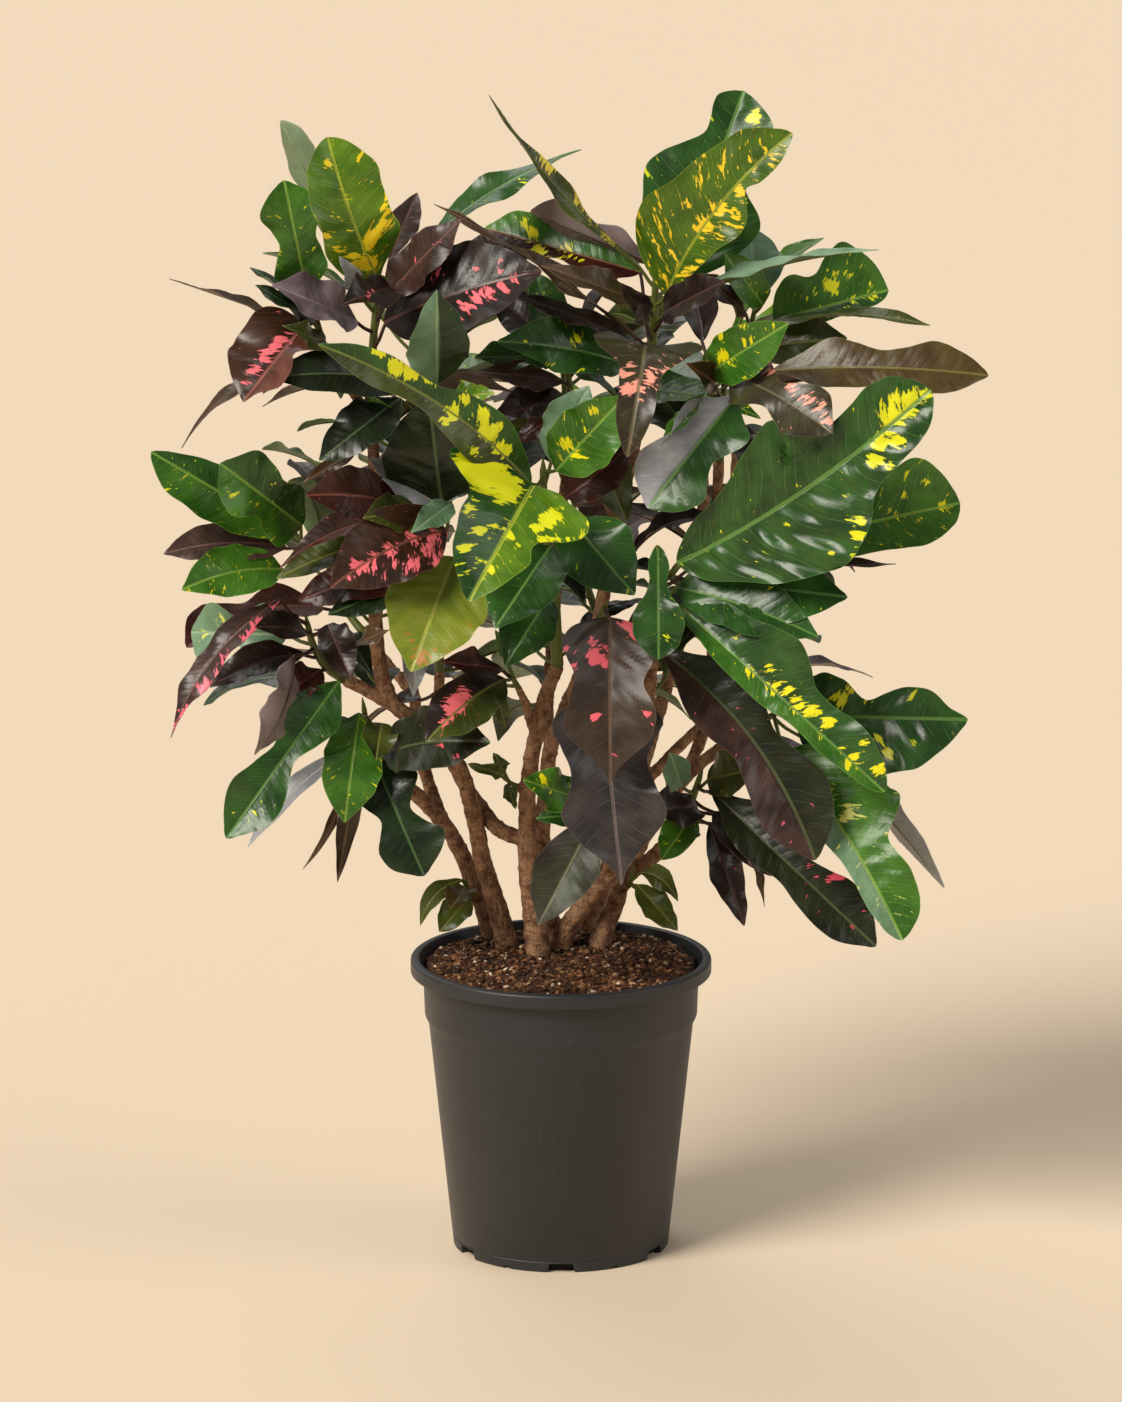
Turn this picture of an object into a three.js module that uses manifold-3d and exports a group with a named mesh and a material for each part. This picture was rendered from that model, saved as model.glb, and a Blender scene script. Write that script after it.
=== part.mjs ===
// A potted croton: a plastic nursery pot filled with soil, woody stems that rise from it, and
// leafy shoots on the ends and twigs of those stems. Millimetres, +Z up, origin on the floor
// under the middle of the pot.
import * as THREE from "three";
import { mergeVertices } from "three/addons/utils/BufferGeometryUtils.js";
import Module from "manifold-3d";

const wasm = await Module();
wasm.setup();

const GAP = 0.3; // clearance between pieces that touch on the real plant

// Pot
const POT_HEIGHT = 237;
const RIM_RADIUS = 120;
const RIM_INNER_RADIUS = 112.8;
const RIM_ROUNDING = 2.5;
const LIP_DEPTH = 11.6;
const BAND_RADIUS = 110;
const BAND_FOOT_RADIUS = 108.8;
const BAND_FOOT_HEIGHT = 191;
const WALL_TOP_RADIUS = 105.9;
const WALL_TOP_HEIGHT = 186;
const FOOT_RADIUS = 86.4;
const FOOT_CHAMFER = 1.5;
const WALL = 2.4;
const FLOOR = 3;
const POT_FACETS = 42;
const NOTCH_COUNT = 6;
const WIDE_NOTCH = { width: 22, height: 7.5, turn: -90 };
const NARROW_NOTCH = { width: 5, height: 2, turn: -60 };
const NOTCH_DEPTH = 12;

// Soil
const SOIL_EDGE_HEIGHT = 232;
const SOIL_CROWN_HEIGHT = 238;
const SOIL_CROWN_RADIUS = 58;
const SOIL_BAND_SPREAD = 0.8; // the soil widens by this much up the band
const STEM_BURIED = 60;
const HOLE_SIDES = 8;
const HOLE_MARGIN = 3; // a hole is this much wider than its stem all round

// Stems and leaves
const BARK_SIDES = 6;
const SHOOT_SIDES = 5;
const PETIOLE_RADIUS = 1.5;
const PETIOLE_FALL = 12; // a petiole leaves its stem about this far below the blade
const BLADE_THICKNESS = 1.4; // at the midrib; it thins to the edges
const SHOOT_TIP = 0.55; // radius at a shoot's tip, as a share of that at its foot
const PLACES_PER_SPAN = 7; // where leaves can root, on each straight stretch of a shoot
const FOLD = [6, 20]; // of a blade along its midrib, in degrees
const WAVE = [4, 12]; // height of the waves at a blade's edge
const WAVES = [1, 2.2]; // number of them along the blade

// Places are given as they are seen from the front by an eye EYE_DISTANCE away and EYE_HEIGHT
// up: x and height where the line of sight crosses the upright plane through the pot's axis,
// then the true depth behind that plane, less than zero in front of it.
const EYE_DISTANCE = 6000;
const EYE_HEIGHT = 1860;
const EYE_PITCH = 13.26;

// Each stem is a list of limbs, and a limb a list of [x, height, depth, radius].
const STEMS = {
  stem_centre: [
    [[-17, 231, 8, 10.5], [-26, 306, 5, 7.8], [-27, 342, 3, 7.2], [-26, 378, 0, 6.8],
      [-21, 413, -4, 6.3], [-13, 447, -8, 6], [-3, 475, -14, 5.6]],
    [[-27, 332, 4, 6], [-50, 342, 14, 6.5], [-64, 360, 34, 6], [-78, 380, 46, 5.5],
      [-92, 412, 45, 5], [-96, 446, 38, 4.6], [-96, 471, 25, 4.2]],
    [[-23, 425, -5, 4], [-28, 444, -13, 3.5], [-34, 457, -22, 3]],
    [[-26, 370, 2, 3.5], [-36, 377, -4, 2.8]],
  ],
  stem_left: [
    [[-42, 239, 33, 9.6], [-54, 288, 30, 7.8], [-62, 315, 26, 7.2], [-69, 351, 14, 6.8],
      [-79, 388, 2, 6.6], [-95, 410, -4, 6.5], [-116, 430, -6, 6.4], [-135, 448, -8, 6.3],
      [-145, 488, -8, 6], [-147, 560, -8, 5.5], [-147, 635, -8, 5], [-150, 690, -5, 4.6]],
    [[-128, 440, -7, 6], [-150, 453, -9, 5.5], [-170, 463, -10, 5]],
    [[-147, 540, -8, 4.5], [-170, 553, -14, 4.2], [-185, 562, -18, 4]],
    [[-147, 625, -8, 4.5], [-128, 645, -20, 4], [-118, 655, -28, 3.8]],
    [[-149, 670, -6, 4.5], [-160, 690, -14, 4], [-170, 704, -20, 3.8]],
  ],
  stem_back_left: [
    [[-54, 249, 66, 8.6], [-66, 288, 68, 7.2], [-79, 321, 62, 6.8], [-93, 346, 55, 6.4],
      [-115, 370, 45, 6], [-132, 386, 32, 5], [-140, 397, 20, 4.5]],
    [[-94, 348, 56, 5.5], [-108, 390, 80, 5.2], [-115, 440, 95, 5], [-125, 520, 110, 4.6],
      [-130, 590, 120, 4.4], [-120, 650, 118, 4.2]],
    [[-117, 452, 97, 4.5], [-140, 480, 118, 4.2], [-155, 500, 130, 4]],
    [[-65, 282, 71, 3.5], [-72, 286, 56, 3]],
  ],
  stem_middle: [
    [[-8, 243, 52, 9], [-15, 332, 45, 7.2], [-12, 369, 40, 6.6], [-7, 413, 33, 6],
      [11, 455, 22, 5.8], [28, 505, 18, 5.6], [40, 570, 20, 5.4], [55, 640, 18, 5.2],
      [68, 700, 8, 5]],
    [[3, 441, 26, 5], [12, 462, 5, 4.8], [17, 474, -8, 4.5]],
    [[44, 590, 20, 4.5], [30, 625, 18, 4.2], [18, 655, 15, 4]],
    [[-9, 400, 37, 5], [-10, 450, 75, 4.8], [-5, 520, 110, 4.6], [0, 590, 130, 4.4],
      [5, 640, 132, 4.2]],
  ],
  stem_front_right: [
    [[0, 245, 28, 9], [14, 274, 20, 7.8], [36, 301, 12, 7.4], [55, 340, 8, 6.8],
      [64, 390, 4, 6.4], [68, 440, -4, 6], [72, 480, -16, 5.6]],
    [[36, 301, 12, 4], [38, 318, -6, 3.5]],
  ],
  stem_right: [
    [[31, 247, 35, 9], [43, 280, 35, 7.6], [51, 303, 35, 7.2], [70, 316, 30, 6.3],
      [88, 335, 22, 5.5], [96, 350, 15, 5]],
    [[51, 303, 35, 6.5], [72, 345, 44, 6], [100, 385, 44, 5.5], [130, 410, 35, 5],
      [145, 420, 25, 4.5]],
    [[95, 378, 44, 5], [115, 430, 60, 5], [120, 500, 62, 4.8], [122, 570, 45, 4.6],
      [124, 640, 20, 4.3]],
    [[122, 555, 48, 4.4], [135, 610, 50, 4.2], [138, 660, 42, 4], [137, 690, 36, 3.8]],
    [[46, 290, 36, 3.5], [54, 296, 22, 3]],
  ],
  stem_back_right: [
    [[22, 252, 82, 8.5], [35, 300, 90, 8], [55, 360, 105, 7], [75, 430, 120, 6],
      [95, 500, 130, 5.4], [110, 580, 135, 5], [112, 640, 130, 4.6]],
    [[58, 370, 107, 5], [90, 405, 125, 4.6], [115, 430, 135, 4.2]],
    [[68, 408, 115, 5], [50, 460, 150, 4.6], [35, 500, 170, 4.2]],
  ],
};

// The outline of a blade: shares of its length, then of half its width on the left and right
// of the midrib with the tip upwards.
const FORMS = {
  oval: [[0.12, 0.52, 0.5], [0.38, 1, 0.98], [0.66, 0.92, 0.94], [0.89, 0.42, 0.45]],
  lance: [[0.18, 0.6, 0.6], [0.48, 1, 1], [0.82, 0.5, 0.5]],
  sliver: [[0.3, 1, 1], [0.7, 0.75, 0.75]],
  fiddle: [[0.1, 0.35, 0.3], [0.27, 0.9, 0.8], [0.5, 0.54, 0.64], [0.76, 0.95, 0.9],
    [0.93, 0.42, 0.42]],
  deep: [[0.08, 0.45, 0.4], [0.24, 0.9, 0.94], [0.48, 0.4, 0.5], [0.74, 0.95, 0.9],
    [0.93, 0.4, 0.4]],
  drop: [[0.06, 0.6, 0.6], [0.18, 1, 0.98], [0.38, 0.7, 0.74], [0.64, 0.9, 0.94],
    [0.82, 0.5, 0.5], [0.92, 0.13, 0.13]],
  lobed: [[0.05, 0.36, 0.66], [0.17, 0.66, 1], [0.28, 0.88, 1.08], [0.38, 0.72, 0.72],
    [0.48, 0.42, 0.64], [0.66, 0.42, 0.6], [0.87, 0.24, 0.36]],
  wing: [[0.1, 0.36, 0.46], [0.3, 0.62, 0.9], [0.53, 0.98, 1.1], [0.62, 0.5, 0.84],
    [0.72, 0.5, 0.54], [0.93, 0.5, 0.34]],
  spatula: [[0.12, 0.45, 0.45], [0.34, 0.92, 0.9], [0.68, 0.88, 0.93], [0.91, 0.52, 0.58]],
  violin: [[0.13, 0.6, 0.6], [0.32, 1, 1], [0.54, 0.5, 0.54], [0.76, 0.56, 0.58],
    [0.93, 0.3, 0.3]],
  notched_left: [[0.1, 0.7, 0.62], [0.28, 0.68, 0.95], [0.42, 0.34, 1.02], [0.66, 0.55, 1],
    [0.88, 0.24, 0.48]],
  notched_right: [[0.12, 0.9, 0.3], [0.3, 1.25, 0.5], [0.55, 0.94, 0.74], [0.67, 0.9, 0.24],
    [0.86, 0.62, 0.34]],
  sweep: [[0.12, 0.85, 0.3], [0.43, 1.45, 0.52], [0.57, 0.88, 0.4], [0.82, 0.86, 0.38],
    [0.95, 0.45, 0.2]],
  shouldered: [[0.12, 0.7, 0.66], [0.27, 1, 0.96], [0.45, 0.5, 0.56], [0.62, 0.34, 0.36],
    [0.84, 0.3, 0.3]],
  crested: [[0.12, 0.84, 0.26], [0.3, 0.94, 0.36], [0.47, 0.9, 0.38], [0.66, 1.44, 0.34],
    [0.89, 0.94, 0.28]],
  spoon: [[0.12, 0.45, 0.45], [0.34, 0.78, 0.8], [0.68, 0.74, 0.78], [0.86, 1.12, 0.84],
    [0.95, 0.74, 0.56]],
  crowned: [[0.13, 0.55, 0.55], [0.3, 0.9, 0.98], [0.44, 1.02, 0.92], [0.56, 1.04, 0.52],
    [0.64, 0.74, 0.5], [0.73, 0.38, 0.56], [0.84, 0.38, 0.66], [0.94, 0.34, 0.4]],
  leaning: [[0.12, 0.5, 0.5], [0.36, 0.95, 0.8], [0.62, 1.08, 0.76], [0.85, 0.8, 0.42]],
  paddle: [[0.14, 0.38, 0.34], [0.42, 0.4, 0.4], [0.6, 0.86, 0.9], [0.78, 1, 1], [0.93, 0.56, 0.56]],
};

// Each shoot has its stem, a list of [x, height, depth], the radius of its foot, and leaves:
// form, foot of the blade, tip, width, turn in degrees, arch, bow, and twist in degrees.
// A blade faces the eye, or the sky on the wild shoots. Turn rolls its face upwards about its
// length, and past 90 degrees it shows its underside. Arch lifts the middle of the midrib
// towards the side that the blade would face with no turn, and bow moves it sideways, upwards.
const SHOOTS = {
  shoot_top_left: {
    stem: [[-150, 690, -5], [-147, 735, -12], [-143, 788, -18]],
    foot: 4.2,
    leaves: [
      ["spatula", [-143, 785, -24], [-182, 897, -50], 68, 15, 18, -3],
      ["fiddle", [-160, 790, -5], [-218, 910, 25], 40, 140, 8, 0],
      ["oval", [-160, 752, -30], [-226, 780, -75], 45, 40, 8, 0],
      ["lance", [-133, 778, -38], [-172, 764, -100], 38, 30, 8, 0],
      ["sliver", [-158, 776, -32], [-173, 803, -62], 15, 20, 3, 0],
      ["oval", [-136, 772, -28], [-78, 832, -62], 36, 25, 8, 0],
      ["lance", [-132, 785, -10], [16, 887, 20], 34, 55, 8, 12],
      ["lance", [-134, 800, -8], [-112, 853, 32], 26, 10, 5, 0],
      ["oval", [-138, 750, -34], [-15, 791, -78], 80, 24, 10, 4],
    ],
  },
  shoot_top_outer: {
    stem: [[-170, 704, -20], [-183, 725, -28], [-192, 756, -32]],
    foot: 3.6,
    leaves: [
      ["fiddle", [-198, 772, -32], [-216, 863, -48], 50, 5, 8, 0],
      ["lance", [-197, 748, -36], [-306, 785, -66], 24, 78, 6, 0],
      ["lance", [-195, 760, -30], [-243, 794, 0], 26, 60, 5, 0],
      ["lance", [-193, 752, -42], [-239, 780, -85], 24, 45, 5, 0],
      ["notched_left", [-200, 750, -48], [-249, 687, -108], 72, 22, 8, 0, 40],
      ["lance", [-190, 726, -36], [-298, 650, -30], 20, 72, 6, 14],
      ["lance", [-184, 732, -44], [-218, 748, -110], 24, 40, 6, 0],
    ],
  },
  shoot_upper_left: {
    stem: [[-118, 655, -28], [-106, 672, -38], [-97, 690, -48]],
    foot: 3.6,
    leaves: [
      ["oval", [-97, 702, -66], [-97, 776, -104], 48, 10, 10, 0],
      ["oval", [-124, 700, -44], [-227, 706, -92], 45, 30, 10, 6],
      ["oval", [-126, 690, -50], [-190, 640, -90], 40, 20, 8, 0],
      ["lance", [-130, 668, -40], [-203, 622, -66], 16, 30, 4, 0],
      ["lance", [-128, 655, -42], [-152, 694, -60], 22, 10, 4, 0],
      ["sliver", [-88, 690, -58], [-52, 694, -88], 22, 30, 4, 0],
    ],
  },
  shoot_top_right: {
    stem: [[68, 700, 8], [72, 735, 2], [74, 785, -6]],
    foot: 4.6,
    leaves: [
      ["lance", [64, 792, -6], [-56, 930, -30], 18, 50, 0, -8],
      ["fiddle", [72, 796, 10], [-24, 838, 40], 46, 125, 8, 0],
      ["lance", [64, 766, -14], [-15, 795, -62], 32, 45, 8, 0],
      ["notched_right", [82, 772, -16], [180, 900, -48], 80, 18, 8, 10],
      ["crowned", [88, 782, 18], [142, 933, 58], 98, 5, 6, 0],
      ["lance", [84, 764, -22], [248, 808, -66], 26, 72, 6, 8],
      ["oval", [80, 758, -20], [128, 783, -84], 36, 35, 8, 0],
      ["lance", [68, 750, -12], [46, 782, -52], 22, 30, 4, 0],
      ["lance", [58, 740, -4], [-99, 844, -28], 17, 62, 4, 5],
      ["lance", [62, 730, -10], [-40, 772, -52], 24, 45, 6, 4],
      ["deep", [62, 790, 14], [-60, 825, 62], 46, 20, 8, 0],
      ["oval", [54, 716, -14], [-50, 735, -62], 46, 25, 8, 4],
      ["shouldered", [66, 732, -32], [52, 643, -132], 88, 0, 34, 0],
    ],
  },
  shoot_right_high: {
    stem: [[137, 690, 36], [143, 722, 32], [151, 758, 24]],
    foot: 3.6,
    leaves: [
      ["oval", [152, 768, 34], [148, 826, 78], 46, 10, 6, 0],
      ["oval", [158, 764, 12], [128, 805, -8], 32, 20, 6, 0],
      ["lance", [146, 756, 8], [108, 790, -22], 24, 40, 5, 0],
      ["crested", [166, 752, 22], [256, 776, 22], 62, 5, 6, 0],
      ["lance", [158, 748, 8], [289, 748, -34], 30, 66, 6, 8],
      ["oval", [150, 730, 16], [224, 738, 0], 42, 25, 6, 0],
    ],
  },
  shoot_right_upper: {
    stem: [[124, 640, 20], [127, 675, -4], [128, 708, -26]],
    foot: 4,
    leaves: [
      ["oval", [112, 708, -48], [178, 750, -100], 42, 0, 6, 0],
      ["fiddle", [166, 712, -36], [335, 708, -66], 50, 25, 8, 4],
      ["deep", [132, 708, -56], [213, 662, -134], 52, 10, 10, 4],
      ["sliver", [114, 694, -36], [78, 652, -80], 18, 50, 4, 0],
      ["lance", [122, 700, -44], [98, 718, -96], 24, 30, 5, 0],
      ["fiddle", [136, 690, -42], [68, 602, -92], 70, 12, 10, 0],
      ["lance", [134, 668, -18], [166, 630, -50], 32, 20, 6, 0],
    ],
  },
  shoot_upper_middle: {
    stem: [[18, 655, 15], [8, 690, 8], [4, 728, 2]],
    foot: 3.8,
    leaves: [
      ["oval", [0, 728, 4], [-20, 790, 14], 34, 15, 6, 0],
      ["oval", [-4, 724, -4], [-68, 722, -48], 32, 35, 6, 0],
      ["oval", [-2, 730, 12], [-52, 772, 46], 34, 20, 6, 0],
      ["lance", [2, 704, -10], [-68, 711, -70], 26, 35, 6, 0],
      ["oval", [2, 692, -10], [-55, 672, -66], 34, 30, 8, 0],
      ["lance", [6, 682, 4], [-36, 655, -4], 26, 20, 6, 0],
      ["lance", [12, 716, 4], [38, 742, 6], 24, 40, 5, 0],
      ["oval", [20, 668, -4], [52, 590, -34], 40, 30, 6, 0],
    ],
  },
  shoot_centre: {
    stem: [[-3, 475, -14], [-6, 540, -30], [-13, 600, -48], [-14, 632, -54]],
    foot: 5,
    leaves: [
      ["violin", [-24, 622, -84], [-190, 733, -138], 48, 5, 12, 12],
      ["lobed", [-22, 620, -96], [-73, 527, -196], 130, 0, 14, 0],
      ["oval", [-4, 632, -70], [50, 692, -98], 52, 0, 8, 0],
      ["oval", [-8, 640, -54], [22, 700, -62], 42, 15, 6, 0],
      ["oval", [4, 596, -52], [58, 532, -96], 58, 20, 8, 0],
      ["oval", [4, 610, -44], [54, 650, -34], 44, 20, 6, 0],
      ["oval", [-8, 572, -62], [-52, 505, -122], 60, 20, 8, 0],
      ["oval", [-10, 530, -48], [-44, 474, -84], 42, 20, 6, 0],
    ],
  },
  shoot_left_inner: {
    stem: [[-96, 471, 25], [-97, 530, 0], [-94, 602, -28]],
    foot: 4,
    leaves: [
      ["oval", [-94, 606, -42], [-104, 692, -62], 82, 0, 8, 0],
      ["lance", [-100, 606, -44], [-150, 642, -50], 32, 25, 5, 0],
      ["oval", [-90, 584, -62], [-182, 538, -130], 62, 10, 12, 6],
      ["oval", [-104, 600, -44], [-156, 594, -104], 36, 30, 8, 0],
      ["lance", [-86, 606, -48], [-118, 582, -112], 24, 20, 6, 0],
      ["lance", [-112, 594, -40], [-222, 553, -84], 30, 55, 6, 12],
      ["oval", [-108, 582, -28], [-224, 545, -62], 38, 30, 6, 6],
      ["oval", [-106, 566, -20], [-208, 527, -32], 44, 25, 6, 0],
      ["oval", [-104, 548, -14], [-184, 516, -54], 32, 25, 6, 0],
      ["oval", [-128, 604, -52], [-200, 612, -98], 46, 20, 8, 4],
      ["lance", [-112, 520, -8], [-117, 450, -24], 24, 0, 5, 0],
      ["oval", [-84, 562, -52], [-119, 470, -132], 78, 0, 12, 0],
    ],
  },
  shoot_left_mid: {
    stem: [[-185, 562, -18], [-196, 569, -22], [-206, 577, -26]],
    foot: 3.6,
    leaves: [
      ["leaning", [-214, 582, -24], [-322, 647, -56], 50, 15, 8, 0],
      ["fiddle", [-204, 588, -38], [-268, 638, -92], 62, 10, 8, 0],
      ["oval", [-216, 570, -26], [-313, 565, -44], 36, 25, 6, 6],
      ["oval", [-219, 552, -32], [-299, 536, -84], 44, 20, 6, 6],
    ],
  },
  shoot_left_low: {
    stem: [[-170, 463, -10], [-186, 474, -14], [-196, 492, -18], [-200, 508, -22]],
    foot: 4.2,
    leaves: [
      ["lance", [-222, 528, -52], [-309, 416, -88], 28, 35, 10, 12, 40],
      ["deep", [-216, 500, -8], [-292, 502, 14], 54, 5, 6, 0],
      ["oval", [-202, 484, -26], [-278, 457, -56], 30, 30, 6, 6],
      ["oval", [-212, 482, -44], [-243, 402, -88], 36, 125, 8, -8],
      ["oval", [-190, 472, -20], [-224, 446, -50], 30, 20, 5, 0],
      ["oval", [-204, 506, -34], [-242, 506, -76], 28, 30, 6, 0],
      ["deep", [-176, 462, -34], [-266, 334, -92], 50, 0, 8, 0],
      ["oval", [-184, 508, -34], [-166, 464, -78], 30, 10, 6, 0],
      ["lance", [-172, 488, -30], [-135, 504, -72], 18, 50, 4, 0],
    ],
  },
  shoot_low_left: {
    stem: [[-140, 397, 20], [-148, 410, 8], [-154, 428, -2], [-156, 440, -6]],
    foot: 3.8,
    leaves: [
      ["oval", [-160, 436, -24], [-172, 347, -62], 48, 15, 8, 0],
      ["oval", [-142, 428, -16], [-147, 398, -58], 28, 10, 5, 0],
      ["lance", [-160, 400, 4], [-178, 298, -10], 18, 10, 5, 0],
      ["sliver", [-168, 400, 8], [-206, 308, 6], 7, 20, 4, -8],
      ["deep", [-148, 398, -18], [-109, 303, -58], 58, 10, 8, 0],
      ["oval", [-140, 402, -28], [-56, 412, -88], 58, 25, 10, 6],
      ["lance", [-170, 406, -2], [-249, 327, -20], 20, 30, 5, 6],
      ["lance", [-160, 418, -10], [-189, 437, -44], 14, 20, 3, 0],
    ],
  },
  shoot_twig: {
    stem: [[-34, 457, -22], [-38, 465, -28], [-41, 474, -32]],
    foot: 2.6,
    leaves: [
      ["oval", [-44, 464, -44], [-107, 413, -104], 46, 20, 8, 4],
      ["lance", [-46, 472, -30], [-96, 478, -56], 26, 35, 5, 0],
      ["sliver", [-42, 480, -36], [-52, 504, -50], 10, 10, 2, 0],
      ["lance", [-54, 462, -16], [-44, 424, -14], 14, 20, 4, 0],
    ],
  },
  shoot_sprout: {
    stem: [[-36, 377, -4], [-41, 380, -8], [-45, 384, -12]],
    foot: 2.2,
    leaves: [
      ["sliver", [-46, 385, -14], [-74, 395, -30], 12, 25, 3, 0],
      ["sliver", [-44, 388, -12], [-54, 404, -18], 11, 20, 3, 0],
      ["sliver", [-43, 378, -12], [-36, 358, -22], 11, 20, 3, 0],
    ],
  },
  shoot_low_middle: {
    stem: [[38, 318, -6], [36, 338, -24], [30, 356, -36]],
    foot: 3,
    leaves: [
      ["oval", [26, 350, -52], [-18, 263, -92], 48, 15, 8, 0],
      ["oval", [16, 366, -42], [-30, 382, -76], 34, 20, 6, 0],
      ["lance", [18, 354, -38], [-20, 350, -50], 26, 30, 5, 0],
    ],
  },
  shoot_hanging: {
    stem: [[17, 474, -8], [24, 500, -36], [34, 522, -62]],
    foot: 4,
    leaves: [
      ["drop", [38, 514, -86], [39, 378, -132], 80, 5, 10, 0],
      ["drop", [32, 452, -64], [48, 296, -112], 88, 8, 10, 0],
    ],
  },
  shoot_right_front: {
    stem: [[72, 480, -16], [78, 515, -34], [82, 548, -50]],
    foot: 4.8,
    leaves: [
      ["wing", [92, 558, -74], [290, 697, -128], 118, 0, 14, -9],
      ["spoon", [96, 558, -50], [314, 606, -52], 74, 14, 8, 0],
      ["lance", [98, 552, -56], [264, 557, -76], 26, 70, 6, 0],
      ["oval", [90, 538, -64], [203, 498, -112], 50, 20, 8, 4],
      ["oval", [98, 546, -58], [226, 530, -96], 62, 20, 8, 0],
      ["paddle", [76, 572, -70], [77, 480, -118], 40, 5, 8, 0],
      ["sweep", [93, 524, -78], [257, 372, -156], 60, 0, 12, 0],
      ["fiddle", [80, 486, -48], [202, 316, -104], 70, 10, 10, 16],
    ],
  },
  shoot_right_mid: {
    stem: [[145, 420, 25], [158, 429, 14], [170, 436, 4]],
    foot: 4,
    leaves: [
      ["notched_left", [186, 434, -10], [322, 431, -34], 90, 10, 8, 0],
      ["sweep", [178, 404, -44], [272, 250, -118], 70, 0, 10, 6],
      ["lance", [190, 418, 6], [305, 293, -26], 38, 128, 6, 6],
    ],
  },
  shoot_low_right: {
    stem: [[96, 350, 15], [104, 366, 6], [110, 384, 0]],
    foot: 4.2,
    leaves: [
      ["fiddle", [120, 372, -22], [251, 245, -84], 52, 10, 10, 0],
      ["oval", [118, 346, -10], [146, 262, -44], 26, 15, 6, 0],
      ["oval", [124, 354, 4], [168, 303, -26], 26, 20, 6, 0],
      ["lance", [122, 356, -16], [152, 310, -60], 26, 20, 5, 0],
      ["sliver", [122, 346, 8], [162, 277, -2], 7, 30, 3, 10],
      ["oval", [104, 352, -20], [80, 316, -62], 30, 15, 5, 0],
      ["oval", [96, 376, -12], [86, 404, -50], 26, 20, 4, 0],
      ["oval", [116, 382, -2], [160, 392, -34], 38, 20, 6, 0],
      ["oval", [108, 360, -14], [66, 356, -60], 34, 30, 6, 0],
    ],
  },
  shoot_foot_left: {
    stem: [[-72, 286, 56], [-74, 291, 50], [-75, 297, 45]],
    foot: 2.4,
    leaves: [
      ["lance", [-78, 300, 42], [-112, 262, 26], 17, 25, 5, 8],
      ["oval", [-76, 294, 36], [-88, 276, -6], 24, 20, 4, 0],
      ["oval", [-74, 285, 46], [-97, 257, 22], 26, 15, 4, 0],
    ],
  },
  shoot_foot_right: {
    stem: [[54, 296, 22], [56, 300, 18], [57, 306, 14]],
    foot: 2.4,
    leaves: [
      ["lance", [62, 306, 12], [93, 282, -4], 18, 25, 4, 6],
      ["oval", [60, 296, 14], [93, 258, -10], 24, 20, 5, 0],
      ["oval", [64, 291, 20], [88, 260, 22], 18, 15, 4, 0],
    ],
  },
};

// Wild shoots fill the far side of the crown. Their leaves go round the stem by a rule: count
// of leaves, compass direction of the first one, and length of the longest.
const WILD_SHOOTS = {
  shoot_back_left: { stem: [[-120, 650, 118], [-113, 690, 112], [-107, 726, 106]],
    foot: 3.9, count: 9, first: 40, length: 150 },
  shoot_back_left_low: { stem: [[-155, 500, 130], [-172, 524, 142], [-184, 556, 150]],
    foot: 3.7, count: 8, first: 110, length: 132 },
  shoot_back_middle: { stem: [[5, 640, 132], [4, 685, 131], [0, 730, 126]],
    foot: 3.9, count: 9, first: 230, length: 150 },
  shoot_back_low: { stem: [[35, 500, 170], [22, 535, 184], [12, 575, 192]],
    foot: 3.9, count: 9, first: 95, length: 150 },
  shoot_back_right: { stem: [[112, 640, 130], [118, 682, 126], [120, 716, 120]],
    foot: 4.2, count: 9, first: 0, length: 150 },
  shoot_back_right_low: { stem: [[115, 430, 135], [132, 452, 142], [144, 482, 146]],
    foot: 3.9, count: 8, first: 60, length: 118 },
};
const WILD_TURN = 137.5; // from each leaf to the next one down, in degrees
const WILD_RISE = [48, -18]; // rise of the highest and the lowest leaf
const WILD_NODE = [1, 0.25]; // how far up the shoot those two root
const WILD_LENGTH = [0.75, 1]; // their lengths, as shares of the longest
const WILD_JITTER = [-8, 8]; // of the compass direction and the rise
const WILD_GROWTH = [0.85, 1.15]; // of the length
const WILD_DROOP = [0, 20]; // of the tip
const WILD_SLENDERNESS = [0.3, 0.42]; // width, as a share of the length
const WILD_ROLL = [-25, 25];
const WILD_BOW = [-6, 6];
const WILD_ARCH = 12;
const WILD_LIFT = 6; // of the blade's foot above its node
const WILD_PETIOLE = 24;
const WILD_CLEARANCE = 15; // from the leaves of the other shoots
const WILD_SWINGS = [0, 22, -22, 44, -44, 66, -66]; // tried in turn until a leaf is clear
const WILD_FORMS = ["fiddle", "oval", "deep", "lance"];

const MATERIALS = {
  pot: { color: 0x2b2b2d, roughness: 0.55, metalness: 0 },
  soil: { color: 0x3a2418, roughness: 1, metalness: 0 },
  bark: { color: 0x5b3c2a, roughness: 0.9, metalness: 0 },
  leaf: { color: 0x2c5a24, roughness: 0.4, metalness: 0 },
  darkLeaf: { color: 0x36242a, roughness: 0.4, metalness: 0 },
};
const DARK_SHOOTS = ["shoot_top_outer", "shoot_upper_middle", "shoot_hanging", "shoot_low_right"];

const UP = new THREE.Vector3(0, 0, 1);
const TO_EYE = new THREE.Vector3(
  0,
  -Math.cos(THREE.MathUtils.degToRad(EYE_PITCH)),
  Math.sin(THREE.MathUtils.degToRad(EYE_PITCH)),
);

function seen([x, height, depth]) {
  const share = depth / EYE_DISTANCE;
  const z = height + (height - EYE_HEIGHT) * share;
  return new THREE.Vector3(x * (1 + share), depth, z);
}

function between([low, high], share) {
  return low + (high - low) * share;
}

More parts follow.
